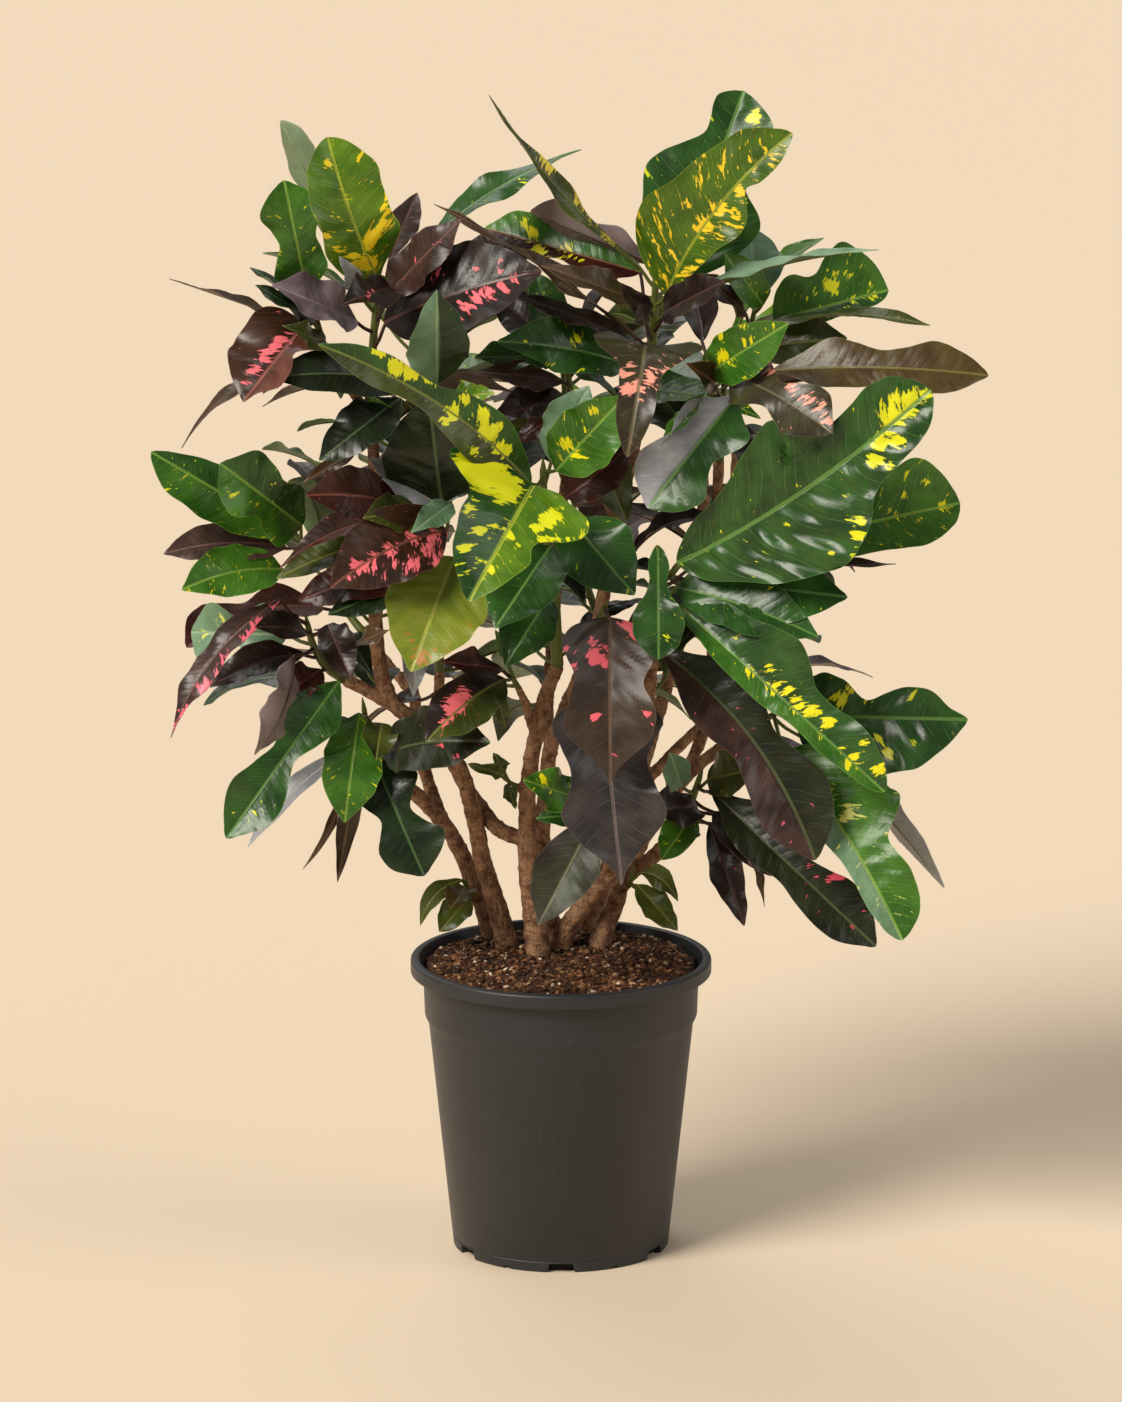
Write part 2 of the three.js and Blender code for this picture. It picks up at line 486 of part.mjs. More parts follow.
// Repeatable draws between 0 and 1.
function drawsFrom(seed) {
  let state = seed;
  return () => {
    state = (state * 16807) % 2147483647;
    return state / 2147483647;
  };
}

// ---- solids ----

function solidFromTriangles(points, triangles) {
  let volume = 0;
  for (const [a, b, c] of triangles) {
    volume += points[a].dot(points[b].clone().cross(points[c]));
  }
  const outward = volume > 0 ? triangles : triangles.map(([a, b, c]) => [a, c, b]);
  return new wasm.Manifold(
    new wasm.Mesh({
      numProp: 3,
      vertProperties: new Float32Array(points.flatMap((p) => [p.x, p.y, p.z])),
      triVerts: new Uint32Array(outward.flat()),
    }),
  );
}

// A closed skin over rings of points, where an end ring of one point is a pointed end. The two
// halves of a ring split their quads in mirrored ways, so both faces of a blade match.
function loft(rings) {
  const triangles = [];
  let low = 0;
  for (let i = 0; i + 1 < rings.length; i++) {
    const high = low + rings[i].length;
    const sides = Math.max(rings[i].length, rings[i + 1].length);
    for (let side = 0; side < sides; side++) {
      const next = (side + 1) % sides;
      const a = low + (rings[i].length > 1 ? side : 0);
      const b = low + (rings[i].length > 1 ? next : 0);
      const c = high + (rings[i + 1].length > 1 ? next : 0);
      const d = high + (rings[i + 1].length > 1 ? side : 0);
      const pair = side < sides / 2 ? [[a, b, c], [a, c, d]] : [[b, c, d], [b, d, a]];
      triangles.push(...pair.filter((corners) => new Set(corners).size === 3));
    }
    low = high;
  }
  const first = rings[0].length;
  const last = rings.at(-1).length;
  for (let side = 1; side + 1 < first; side++) {
    triangles.push([0, side + 1, side]);
  }
  for (let side = 1; side + 1 < last; side++) {
    triangles.push([low, low + side, low + side + 1]);
  }
  return solidFromTriangles(rings.flat(), triangles);
}

function solidFromGeometry(geometry) {
  geometry.deleteAttribute("normal");
  geometry.deleteAttribute("uv");
  const merged = mergeVertices(geometry, 1e-4);
  return new wasm.Manifold(
    new wasm.Mesh({
      numProp: 3,
      vertProperties: merged.attributes.position.array,
      triVerts: new Uint32Array(merged.index.array),
    }),
  );
}

function meshFromSolid(name, solid, material) {
  const mesh = solid.getMesh();
  const geometry = new THREE.BufferGeometry();
  geometry.setAttribute("position", new THREE.BufferAttribute(mesh.vertProperties, 3));
  geometry.setIndex(new THREE.BufferAttribute(mesh.triVerts, 1));
  geometry.computeVertexNormals();
  const made = new THREE.Mesh(geometry, material);
  made.name = name;
  return made;
}

function joined(solids) {
  return solids.reduce((whole, piece) => whole.add(piece));
}

// The body itself, without any loose scrap that joining left.
function largestBody(solid) {
  const bodies = solid.decompose();
  return bodies.reduce((a, b) => (b.volume() > a.volume() ? b : a));
}

// ---- tubes ----

function ringAround(centre, direction, radius, sides, reference) {
  const across = new THREE.Vector3().crossVectors(reference, direction).normalize();
  const over = new THREE.Vector3().crossVectors(direction, across);
  return Array.from({ length: sides }, (_, i) => {
    const angle = (2 * Math.PI * i) / sides;
    return centre
      .clone()
      .addScaledVector(across, radius * Math.cos(angle))
      .addScaledVector(over, radius * Math.sin(angle));
  });
}

function referenceFor(direction) {
  return Math.abs(direction.y) < 0.8 ? new THREE.Vector3(0, 1, 0) : new THREE.Vector3(1, 0, 0);
}

// A tube through the places of a line, square across at both ends. Its foot may face a given
// direction, so that it meets what it grows on face to face.
function tube(line, sides, footDirection) {
  const chord = new THREE.Vector3().subVectors(line.at(-1).place, line[0].place).normalize();
  const reference = referenceFor(chord);
  const rings = line.map(({ place, radius }, i) => {
    const before = line[Math.max(i - 1, 0)].place;
    const after = line[Math.min(i + 1, line.length - 1)].place;
    const direction = new THREE.Vector3().subVectors(after, before).normalize();
    const facing = i === 0 && footDirection ? footDirection : direction;
    return ringAround(place, facing, radius, sides, reference);
  });
  return loft(rings);
}

// ---- pot and soil ----

function pot() {
  const lipFoot = POT_HEIGHT - LIP_DEPTH;
  const outside = [
    [0, 0],
    [FOOT_RADIUS - FOOT_CHAMFER, 0],
    [FOOT_RADIUS, FOOT_CHAMFER],
    [WALL_TOP_RADIUS, WALL_TOP_HEIGHT],
    [BAND_FOOT_RADIUS, BAND_FOOT_HEIGHT],
    [BAND_RADIUS, lipFoot],
    [RIM_RADIUS, lipFoot],
    [RIM_RADIUS, POT_HEIGHT - RIM_ROUNDING],
    [RIM_RADIUS - RIM_ROUNDING, POT_HEIGHT],
  ];
  const inside = [
    [RIM_INNER_RADIUS, POT_HEIGHT],
    [BAND_RADIUS - WALL, lipFoot],
    [BAND_FOOT_RADIUS - WALL, BAND_FOOT_HEIGHT],
    [WALL_TOP_RADIUS - WALL, WALL_TOP_HEIGHT],
    [FOOT_RADIUS - WALL, FLOOR],
    [0, FLOOR],
  ];
  const profile = [...outside, ...inside].map(([r, z]) => new THREE.Vector2(r, z));
  const shell = solidFromGeometry(new THREE.LatheGeometry(profile, POT_FACETS).rotateX(Math.PI / 2));
  return cutNotches(shell);
}

// Drain notches in the bottom edge: wide ones, with narrow ones halfway between.
function cutNotches(shell) {
  let cut = shell;
  for (const { width, height, turn } of [WIDE_NOTCH, NARROW_NOTCH]) {
    for (let i = 0; i < NOTCH_COUNT; i++) {
      const box = new THREE.BoxGeometry(2 * NOTCH_DEPTH, width, 2 * height);
      box.translate(FOOT_RADIUS, 0, 0);
      box.rotateZ(THREE.MathUtils.degToRad(turn + (360 / NOTCH_COUNT) * i));
      cut = cut.subtract(solidFromGeometry(box));
    }
  }
  return cut;
}

function soil() {
  const wallAt = (z) =>
    THREE.MathUtils.mapLinear(z, 0, WALL_TOP_HEIGHT, FOOT_RADIUS, WALL_TOP_RADIUS) - WALL - GAP;
  const bandInside = BAND_FOOT_RADIUS - WALL - GAP;
  const profile = [
    [0, FLOOR + GAP],
    [wallAt(FLOOR) - GAP, FLOOR + GAP],
    [wallAt(WALL_TOP_HEIGHT), WALL_TOP_HEIGHT],
    [bandInside, BAND_FOOT_HEIGHT],
    [bandInside + SOIL_BAND_SPREAD, SOIL_EDGE_HEIGHT],
    [SOIL_CROWN_RADIUS, SOIL_CROWN_HEIGHT],
    [0, SOIL_CROWN_HEIGHT],
  ].map(([r, z]) => new THREE.Vector2(r, z));
  let body = solidFromGeometry(new THREE.LatheGeometry(profile, POT_FACETS).rotateX(Math.PI / 2));
  for (const [trunk] of Object.values(STEMS)) {
    const [x, height, depth, radius] = trunk[0];
    const foot = seen([x, height, depth]);
    const wide = radius + HOLE_MARGIN;
    const hole = new THREE.CylinderGeometry(wide, wide, 2 * STEM_BURIED, HOLE_SIDES);
    hole.rotateX(Math.PI / 2);
    hole.translate(foot.x, foot.y, foot.z - GAP);
    body = body.subtract(solidFromGeometry(hole));
  }
  return body;
}

// ---- stems ----

function lineOf(rows) {
  return rows.map((row) => ({ place: seen(row), radius: row[3] }));
}

// A trunk runs straight down into the soil from the foot that shows.
function trunkLine(rows) {
  const line = lineOf(rows);
  const [{ place, radius }] = line;
  return [{ place: place.clone().addScaledVector(UP, -STEM_BURIED), radius }, ...line];
}

function woodyStem([trunk, ...limbs]) {
  const lines = [trunkLine(trunk), ...limbs.map(lineOf)];
  return joined(lines.map((line) => tube(line, BARK_SIDES)));
}

// ---- leaves ----

// The midrib and the way the blade faces at a share of its length.
function bladeAt(leaf, share) {
  const axis = new THREE.Vector3().subVectors(leaf.tip, leaf.foot).normalize();
  const face = leaf.faces.clone().addScaledVector(axis, -leaf.faces.dot(axis)).normalize();
  const right = new THREE.Vector3().crossVectors(axis, face);
  const upwards = right.clone().multiplyScalar(Math.sign(right.z + 0.3 * right.x));
  const swell = 4 * share * (1 - share);
  const slope = 4 * (1 - 2 * share);
  const bend = face.clone().multiplyScalar(leaf.arch).addScaledVector(upwards, leaf.bow);
  const midrib = leaf.foot.clone().lerp(leaf.tip, share).addScaledVector(bend, swell);
  const along = new THREE.Vector3().subVectors(leaf.tip, leaf.foot).addScaledVector(bend, slope);
  along.normalize();
  const roll = THREE.MathUtils.degToRad(leaf.turn + leaf.twist * (share - 0.5));
  const turned = face.multiplyScalar(Math.cos(roll)).addScaledVector(upwards, Math.sin(roll));
  const side = new THREE.Vector3().crossVectors(along, turned).normalize();
  const normal = new THREE.Vector3().crossVectors(side, along);
  return { midrib, side, normal };
}

// The place of the edge, left (-1) or right (1), folded up from the midrib and waved.
function edgeAt(leaf, share, halfWidth, hand) {
  const { midrib, side, normal } = bladeAt(leaf, share);
  const phase = leaf.phase + hand;
  const wave = leaf.wave * Math.sin(2 * Math.PI * leaf.waves * share + phase);
  const rise = halfWidth * Math.sin(leaf.fold) + wave * (halfWidth / leaf.width);
  return midrib
    .addScaledVector(side, hand * halfWidth * Math.cos(leaf.fold))
    .addScaledVector(normal, rise);
}

// The place on the stem that a petiole springs from: the nearest one below the blade that no
// other leaf has taken.
function takeRoot(leaf, free) {
  const under = leaf.foot.clone().addScaledVector(UP, -PETIOLE_FALL);
  free.sort((a, b) => a.distanceTo(under) - b.distanceTo(under));
  return free.shift();
}

// A blade with its petiole.
function leafSolid(leaf, root) {
  const along = new THREE.Vector3().subVectors(leaf.foot, root).normalize();
  const { side, normal } = bladeAt(leaf, 0);
  const across = side.clone().addScaledVector(along, -side.dot(along)).normalize();
  const over = new THREE.Vector3().crossVectors(across, along);
  const rings = FORMS[leaf.form].map(([share, left, right]) => {
    const { midrib, normal: up } = bladeAt(leaf, share);
    const half = leaf.width / 2;
    return [
      edgeAt(leaf, share, half * left, -1),
      midrib.clone().addScaledVector(up, BLADE_THICKNESS / 2),
      edgeAt(leaf, share, half * right, 1),
      midrib.clone().addScaledVector(up, -BLADE_THICKNESS / 2),
    ];
  });
  const petiole = [
    diamond(root, across, over, PETIOLE_RADIUS),
    diamond(leaf.foot, side, normal, PETIOLE_RADIUS),
  ];
  return loft([...petiole, ...rings, [leaf.tip.clone()]]);
}

function diamond(centre, across, over, radius) {
  return [[across, -1], [over, 1], [across, 1], [over, -1]].map(([way, hand]) =>
    centre.clone().addScaledVector(way, hand * radius),
  );
}

// A leaf's own fold and waves are drawn from its number.
function makeLeaf(form, foot, tip, width, turn, arch, bow, twist, faces, number) {
  const draw = drawsFrom(97 * number + 13);
  draw();
  const fold = THREE.MathUtils.degToRad(between(FOLD, draw()));
  const wave = between(WAVE, draw());
  const phase = 2 * Math.PI * draw();
  const waves = between(WAVES, draw());
  return { form, foot, tip, width, turn, arch, bow, twist, faces, fold, wave, phase, waves };
}

// A wild leaf of a shoot: its place round and down the stem sets where it points.
function wildLeaf(shoot, places, index, swing, number) {
  const draw = drawsFrom(131 * number + 7);
  draw();
  const down = index / (shoot.count - 1);
  const node = places[Math.round(between(WILD_NODE, down) * (places.length - 1))];
  const compass = shoot.first + WILD_TURN * index + swing + between(WILD_JITTER, draw());
  const rise = between(WILD_RISE, down) + between(WILD_JITTER, draw());
  const direction = new THREE.Vector3(1, 0, 0)
    .applyAxisAngle(new THREE.Vector3(0, -1, 0), THREE.MathUtils.degToRad(rise))
    .applyAxisAngle(UP, THREE.MathUtils.degToRad(compass));
  const grown = between(WILD_LENGTH, Math.sqrt(down)) * between(WILD_GROWTH, draw());
  const length = shoot.length * grown;
  const foot = node.clone().addScaledVector(direction, WILD_PETIOLE).addScaledVector(UP, WILD_LIFT);
  const tip = foot.clone().addScaledVector(direction, length);
  tip.addScaledVector(UP, -between(WILD_DROOP, draw()));
  const width = length * between(WILD_SLENDERNESS, draw());
  const turn = between(WILD_ROLL, draw());
  const bow = between(WILD_BOW, draw());
  const form = WILD_FORMS[(index + shoot.count) % WILD_FORMS.length];
  return makeLeaf(form, foot, tip, width, turn, WILD_ARCH, bow, 0, UP, number);
}

// Points spread over a blade, to keep shoots clear of each other.
function bladeSamples(leaf) {
  return [0.1, 0.3, 0.5, 0.7, 0.9].flatMap((share) => {
    const { midrib, side } = bladeAt(leaf, share);
    return [-0.38, 0, 0.38].map((hand) =>
      midrib.clone().addScaledVector(side, hand * leaf.width),
    );
  });
}

function isClear(leaf, others) {
  return bladeSamples(leaf).every((point) =>
    others.every((other) => point.distanceTo(other) > WILD_CLEARANCE),
  );
}

// ---- the plant ----

// Places along a line, close enough together to root leaves on and to measure from.
function placesAlong(line) {
  const shares = Array.from({ length: PLACES_PER_SPAN }, (_, i) => (i + 1) / PLACES_PER_SPAN);
  return line.slice(1).flatMap(({ place }, i) =>
    shares.map((share) => line[i].place.clone().lerp(place, share)),
  );
}

// A shoot stands on the end of a limb, and its foot faces along that limb.
function shootOn(shoot) {
  const limbs = Object.values(STEMS).flat();
  const limb = limbs.find((rows) => rows.at(-1).slice(0, 3).join() === shoot.stem[0].join());
  const [before, end] = limb.slice(-2).map(seen);
  const footDirection = new THREE.Vector3().subVectors(end, before).normalize();
  const last = shoot.stem.length - 1;
  const line = shoot.stem.map((row, i) => ({
    place: seen(row),
    radius: shoot.foot * THREE.MathUtils.lerp(1, SHOOT_TIP, i / last),
  }));
  line[0].place.addScaledVector(footDirection, GAP);
  return { line, footDirection, places: placesAlong(line) };
}

const crown = {};
let leafNumber = 0;
for (const [name, shoot] of Object.entries(SHOOTS)) {
  const leaves = shoot.leaves.map((row) => {
    const [form, foot, tip, width, turn, arch, bow, twist = 0] = row;
    leafNumber += 1;
    const number = leafNumber;
    return makeLeaf(form, seen(foot), seen(tip), width, turn, arch, bow, twist, TO_EYE, number);
  });
  crown[name] = { ...shootOn(shoot), leaves };
}
for (const [name, shoot] of Object.entries(WILD_SHOOTS)) {
  crown[name] = { ...shootOn(shoot), leaves: [] };
}
const limbPlaces = Object.values(STEMS).flat().flatMap((rows) => placesAlong(lineOf(rows)));
for (const [name, shoot] of Object.entries(WILD_SHOOTS)) {
  const own = crown[name];
  const rest = Object.values(crown).filter((other) => other !== own);
  const others = [
    ...limbPlaces,
    ...rest.flatMap(({ places, leaves }) => [...places, ...leaves.flatMap(bladeSamples)]),
  ];
  for (let index = 0; index < shoot.count; index++) {
    leafNumber += 1;
    const number = leafNumber;
    const tries = WILD_SWINGS.map((swing) => wildLeaf(shoot, own.places, index, swing, number));
    const clear = tries.find((leaf) => isClear(leaf, others));
    if (clear) {
      own.leaves.push(clear);
    }
  }
}

const materials = Object.fromEntries(
  Object.entries(MATERIALS).map(([name, look]) => [name, new THREE.MeshStandardMaterial(look)]),
);
const group = new THREE.Group();
group.add(meshFromSolid("pot", pot(), materials.pot));
group.add(meshFromSolid("soil", soil(), materials.soil));
for (const [name, limbs] of Object.entries(STEMS)) {
  group.add(meshFromSolid(name, woodyStem(limbs), materials.bark));
}
for (const [name, { line, footDirection, places, leaves }] of Object.entries(crown)) {
  const free = [...places];
  const pieces = leaves.map((leaf) => leafSolid(leaf, takeRoot(leaf, free)));
  const solid = joined([tube(line, SHOOT_SIDES, footDirection), ...pieces]);
  const look = DARK_SHOOTS.includes(name) ? materials.darkLeaf : materials.leaf;
  group.add(meshFromSolid(name, largestBody(solid), look));
}

export default group;
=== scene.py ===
"""A potted croton in its nursery pot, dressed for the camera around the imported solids.

Tables and working are in millimetres, and a piece's mesh is written in metres. +Z is up, and the
origin is on the floor under the middle of the pot.
"""

import math
import random

import bpy
import numpy as np
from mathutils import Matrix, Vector, noise


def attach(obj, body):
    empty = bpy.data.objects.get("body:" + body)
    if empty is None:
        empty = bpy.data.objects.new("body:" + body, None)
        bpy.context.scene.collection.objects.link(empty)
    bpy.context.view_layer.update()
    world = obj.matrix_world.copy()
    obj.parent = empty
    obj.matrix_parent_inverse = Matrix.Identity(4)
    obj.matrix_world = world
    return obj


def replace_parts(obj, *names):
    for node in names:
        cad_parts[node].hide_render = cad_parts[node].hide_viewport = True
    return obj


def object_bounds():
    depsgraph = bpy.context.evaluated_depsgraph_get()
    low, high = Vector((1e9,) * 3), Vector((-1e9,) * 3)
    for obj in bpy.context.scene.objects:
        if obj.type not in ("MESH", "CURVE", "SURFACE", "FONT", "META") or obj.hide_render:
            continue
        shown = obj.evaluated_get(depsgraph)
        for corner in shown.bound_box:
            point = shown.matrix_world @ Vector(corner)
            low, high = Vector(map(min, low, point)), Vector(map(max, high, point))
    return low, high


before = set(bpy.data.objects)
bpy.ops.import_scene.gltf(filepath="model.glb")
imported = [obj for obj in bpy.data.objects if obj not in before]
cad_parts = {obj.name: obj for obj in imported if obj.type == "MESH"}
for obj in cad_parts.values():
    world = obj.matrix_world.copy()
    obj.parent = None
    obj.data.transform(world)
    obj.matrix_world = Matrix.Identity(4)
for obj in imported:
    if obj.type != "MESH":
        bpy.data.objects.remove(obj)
cad_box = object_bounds()

# ---------------------------------------------------------------------------
# Pot: one injection-moulded shell of black recycled plastic. A rounded lip stands out over a
# short band, the wall tapers to the foot, and drain notches are cut through the bottom edge.
# ---------------------------------------------------------------------------

METRES = 0.001
POT_HEIGHT = 237
POT_SIDES = 180
POT_FLOOR = 3
WALL = 2.4
RIM_RADIUS = 120
RIM_INNER_RADIUS = 112.8
RIM_ROUNDING = 2.5
LIP_FOOT = 225.4
LIP_EDGE_ROUNDING = 1
SMALL_ROUNDING = 1.4  # where the lip meets the band, and at the rim's inner edge
BAND_RADIUS = 110
BAND_FOOT_RADIUS = 108.8
BAND_FOOT_HEIGHT = 191
WALL_TOP_RADIUS = 105.9
WALL_TOP_HEIGHT = 186
FOOT_RADIUS = 86.4
FOOT_ROUNDING = 1.5
FOOT_LINE = 9  # a fine moulded line runs round the wall at this height
# Where the wall's outline bends: a corner's radius and height, and the points that soften it.
WALL_BENDS = [
    (FOOT_RADIUS, FOOT_LINE, [(0.6, -1), (0.2, -0.5), (0.3, 0), (0.85, 0.6)]),
    (WALL_TOP_RADIUS, WALL_TOP_HEIGHT, [(-0.3, -2), (0.7, 0.5)]),
    (BAND_FOOT_RADIUS, BAND_FOOT_HEIGHT, [(-0.7, -1.5), (0, 0.8)]),
    (BAND_RADIUS, LIP_FOOT, [(-0.1, -1.5)]),
]
SHARP_BEND = 38
NOTCHES = [(22, 7.5, -90), (5, 2, -60)]  # width, height and the compass place of the first
NOTCH_COUNT = 6
NOTCH_DEPTH = 12
NOTCH_TOP = 0.42  # half the width at the notch's top, as a share of its width
NOTCH_DROP = 5  # how far the cutter reaches below the floor
PLASTIC_BLACK = "1c1d20"
PLASTIC_WORN = "282a2e"
PLASTIC_DUST = "6c6a66"


def hex_colour(text):
    """A colour written as six hex digits, as the shader's linear colour."""
    shares = [int(text[i : i + 2], 16) / 255 for i in (0, 2, 4)]
    linear = [s / 12.92 if s < 0.04 else ((s + 0.055) / 1.055) ** 2.4 for s in shares]
    return (*linear, 1.0)


class Wire:
    """A socket in a material's node tree. Sums on it add the Math nodes that work them out."""

    def __init__(self, tree, socket=None):
        self.tree, self.socket = tree, socket

    def node(self, kind, settings=None, inputs=None, output=0):
        """Adds any shader node: its settings first, then the values or links of its sockets."""
        made = self.tree.nodes.new("ShaderNode" + kind)
        for name, value in (settings or {}).items():
            setattr(made, name, value)
        for key, value in (inputs or {}).items():
            if isinstance(value, Wire):
                self.tree.links.new(value.socket, made.inputs[key])
            else:
                made.inputs[key].default_value = value
        return Wire(self.tree, made.outputs[output] if made.outputs else None)

    def maths(self, operation, *values, clamp=False):
        settings = {"operation": operation, "use_clamp": clamp}
        return self.node("Math", settings, dict(enumerate(values)))

    def mix(self, factor, first, second):
        """From the first colour to the second by the factor."""
        return self.node("Mix", {"data_type": "RGBA"}, {0: factor, 6: first, 7: second}, 2)

    def part(self, index):
        """One of the three numbers of a place."""
        return self.node("SeparateXYZ", inputs={0: self}, output=index)

    def step(self, low, high):
        """From 0 at low to 1 at high, smoothly; low may be the larger."""
        ends = {0: self, 1: min(low, high), 2: max(low, high)}
        ends.update({3: float(low > high), 4: float(low < high)})
        return self.node("MapRange", {"interpolation_type": "SMOOTHSTEP"}, ends)

    def __add__(self, other):
        return self.maths("ADD", self, other)

    def __sub__(self, other):
        return self.maths("SUBTRACT", self, other)

    def __rsub__(self, other):
        return self.maths("SUBTRACT", other, self)

    def __mul__(self, other):
        return self.maths("MULTIPLY", self, other)

    __radd__ = __add__
    __rmul__ = __mul__


def new_material(name):
    """An empty material and the wire that adds its nodes."""
    material = bpy.data.materials.new(name)
    material.use_nodes = True
    material.node_tree.nodes.clear()
    return material, Wire(material.node_tree)


def coat_with(paint, colour, roughness, specular, **more):
    """Ends a material: its surface with these and more inputs, and the material's output."""
    inputs = {"Base Color": colour, "Roughness": roughness, "Specular IOR Level": specular}
    inputs.update({key.replace("_", " ").title(): value for key, value in more.items()})
    surface = paint.node("BsdfPrincipled", inputs=inputs)
    paint.node("OutputMaterial", inputs={"Surface": surface})


def noise_at(paint, place, scale, detail=2.0, roughness=0.5):
    settings = {"Vector": place, "Scale": scale, "Detail": detail, "Roughness": roughness}
    return paint.node("TexNoise", inputs=settings)


def bump_of(paint, height, strength, distance):
    """The surface's normal, raised by a height; the distance is the height of 1, in metres."""
    return paint.node("Bump", inputs={"Height": height, "Strength": strength, "Distance": distance})


def arc(centre, radius, start, end, steps=5):
    """Points of a round corner, from one angle to another in degrees."""
    angles = np.radians(np.linspace(start, end, steps))
    return [(centre[0] + radius * math.cos(a), centre[1] + radius * math.sin(a)) for a in angles]


def lathe(profile, sides):
    """Vertices and faces of a turned shape. The profile starts and ends on the axis."""
    around = np.linspace(0, 2 * math.pi, sides, endpoint=False)
    points = [(0.0, 0.0, profile[0][1])]
    for r, z in profile[1:-1]:
        points += [(r * math.cos(a), r * math.sin(a), z) for a in around]
    points.append((0.0, 0.0, profile[-1][1]))
    last = len(points) - 1
    faces = []
    for i in range(sides):
        j = (i + 1) % sides
        faces.append((0, 1 + j, 1 + i))
        for low in range(1, last - sides, sides):
            faces.append((low + i, low + j, low + sides + j, low + sides + i))
        faces.append((last, last - sides + i, last - sides + j))
    return points, faces


def place_piece(name, points, faces, material, slot):
    """A piece of the plant or the pot, from points in millimetres."""
    mesh = bpy.data.meshes.new(name)
    mesh.from_pydata((np.asarray(points, dtype=float) * METRES).tolist(), [], faces)
    mesh.shade_smooth()
    mesh.materials.append(material)
    piece = bpy.data.objects.new(name, mesh)
    bpy.context.scene.collection.objects.link(piece)
    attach(piece, "root")
    return piece


def settle(piece):
    """Applies the modifiers of a piece to its mesh."""
    graph = bpy.context.evaluated_depsgraph_get()
    made = bpy.data.meshes.new_from_object(piece.evaluated_get(graph))
    piece.modifiers.clear()
    piece.data = made


plastic, paint = new_material("recycled_black_plastic")
where = paint.node("TexCoord", output="Object")
cloud = noise_at(paint, where, scale=22, detail=3, roughness=0.55)
dust = noise_at(paint, where, scale=520, detail=1.5).step(0.68, 0.78)
film = noise_at(paint, where, scale=7, detail=2).part(0)
grain = noise_at(paint, where, scale=900, detail=3, roughness=0.6)
black = paint.mix(cloud, hex_colour(PLASTIC_BLACK), hex_colour(PLASTIC_WORN))
coat_with(
    paint,
    colour=paint.mix(dust * 0.4, black, hex_colour(PLASTIC_DUST)),
    roughness=0.36 + 0.14 * cloud + 0.06 * film,
    specular=0.5,
    normal=bump_of(paint, grain, strength=0.4, distance=0.0004),
)

lip_edge = RIM_RADIUS - LIP_EDGE_ROUNDING
inner_rim = RIM_INNER_RADIUS + SMALL_ROUNDING
outline = [
    (0, 0),
    *arc((FOOT_RADIUS - FOOT_ROUNDING, FOOT_ROUNDING), FOOT_ROUNDING, -90, 0),
    *[(radius + out, z + up) for radius, z, softened in WALL_BENDS for out, up in softened],
    *arc((BAND_RADIUS + SMALL_ROUNDING, LIP_FOOT - SMALL_ROUNDING), SMALL_ROUNDING, 180, 90, 4),
    *arc((lip_edge, LIP_FOOT + LIP_EDGE_ROUNDING), LIP_EDGE_ROUNDING, -90, 0, 4),
    *arc((RIM_RADIUS - RIM_ROUNDING, POT_HEIGHT - RIM_ROUNDING), RIM_ROUNDING, 0, 90, 7),
    *arc((inner_rim, POT_HEIGHT - SMALL_ROUNDING), SMALL_ROUNDING, 90, 180),
    (BAND_RADIUS - WALL, LIP_FOOT),
    (BAND_FOOT_RADIUS - WALL, BAND_FOOT_HEIGHT),
    (WALL_TOP_RADIUS - WALL, WALL_TOP_HEIGHT),
    (FOOT_RADIUS - WALL, POT_FLOOR),
    (0, POT_FLOOR),
]
pot = place_piece("nursery_pot", *lathe(outline, POT_SIDES), plastic, "pot_plastic")
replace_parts(pot, "pot")

notch_points = []
notch_faces = []
for width, height, first in NOTCHES:
    right = [(0.5, -NOTCH_DROP), (0.5, 0), (NOTCH_TOP, height)]
    corners = right + [(-half, z) for half, z in right[::-1]]
    for i in range(NOTCH_COUNT):
        angle = math.radians(first + 360 / NOTCH_COUNT * i)
        out = np.array((math.cos(angle), math.sin(angle), 0))
        across = np.array((-out[1], out[0], 0))
        low = len(notch_points)
        for reach in (FOOT_RADIUS - NOTCH_DEPTH, FOOT_RADIUS + NOTCH_DEPTH):
            notch_points += [out * reach + across * half * width + (0, 0, z) for half, z in corners]
        notch_faces += [tuple(range(low + 5, low - 1, -1)), tuple(range(low + 6, low + 12))]
        for k in range(low, low + 6):
            n = low + (k - low + 1) % 6
            notch_faces.append((n, n + 6, k + 6, k))
cutter = place_piece("notch_cutter", notch_points, notch_faces, plastic, "pot_plastic")
cut = pot.modifiers.new("notches", "BOOLEAN")
cut.operation = "DIFFERENCE"
cut.object = cutter
settle(pot)
bpy.data.objects.remove(cutter)
pot.data.set_sharp_from_angle(angle=math.radians(SHARP_BEND))

# ---------------------------------------------------------------------------
# Soil: a loose filling of brown peat, composted bark and perlite, pressed down by watering. It
# is a closed bed with a lumpy top, and the coarse crumbs that lie on it are pieces of their own.
# ---------------------------------------------------------------------------

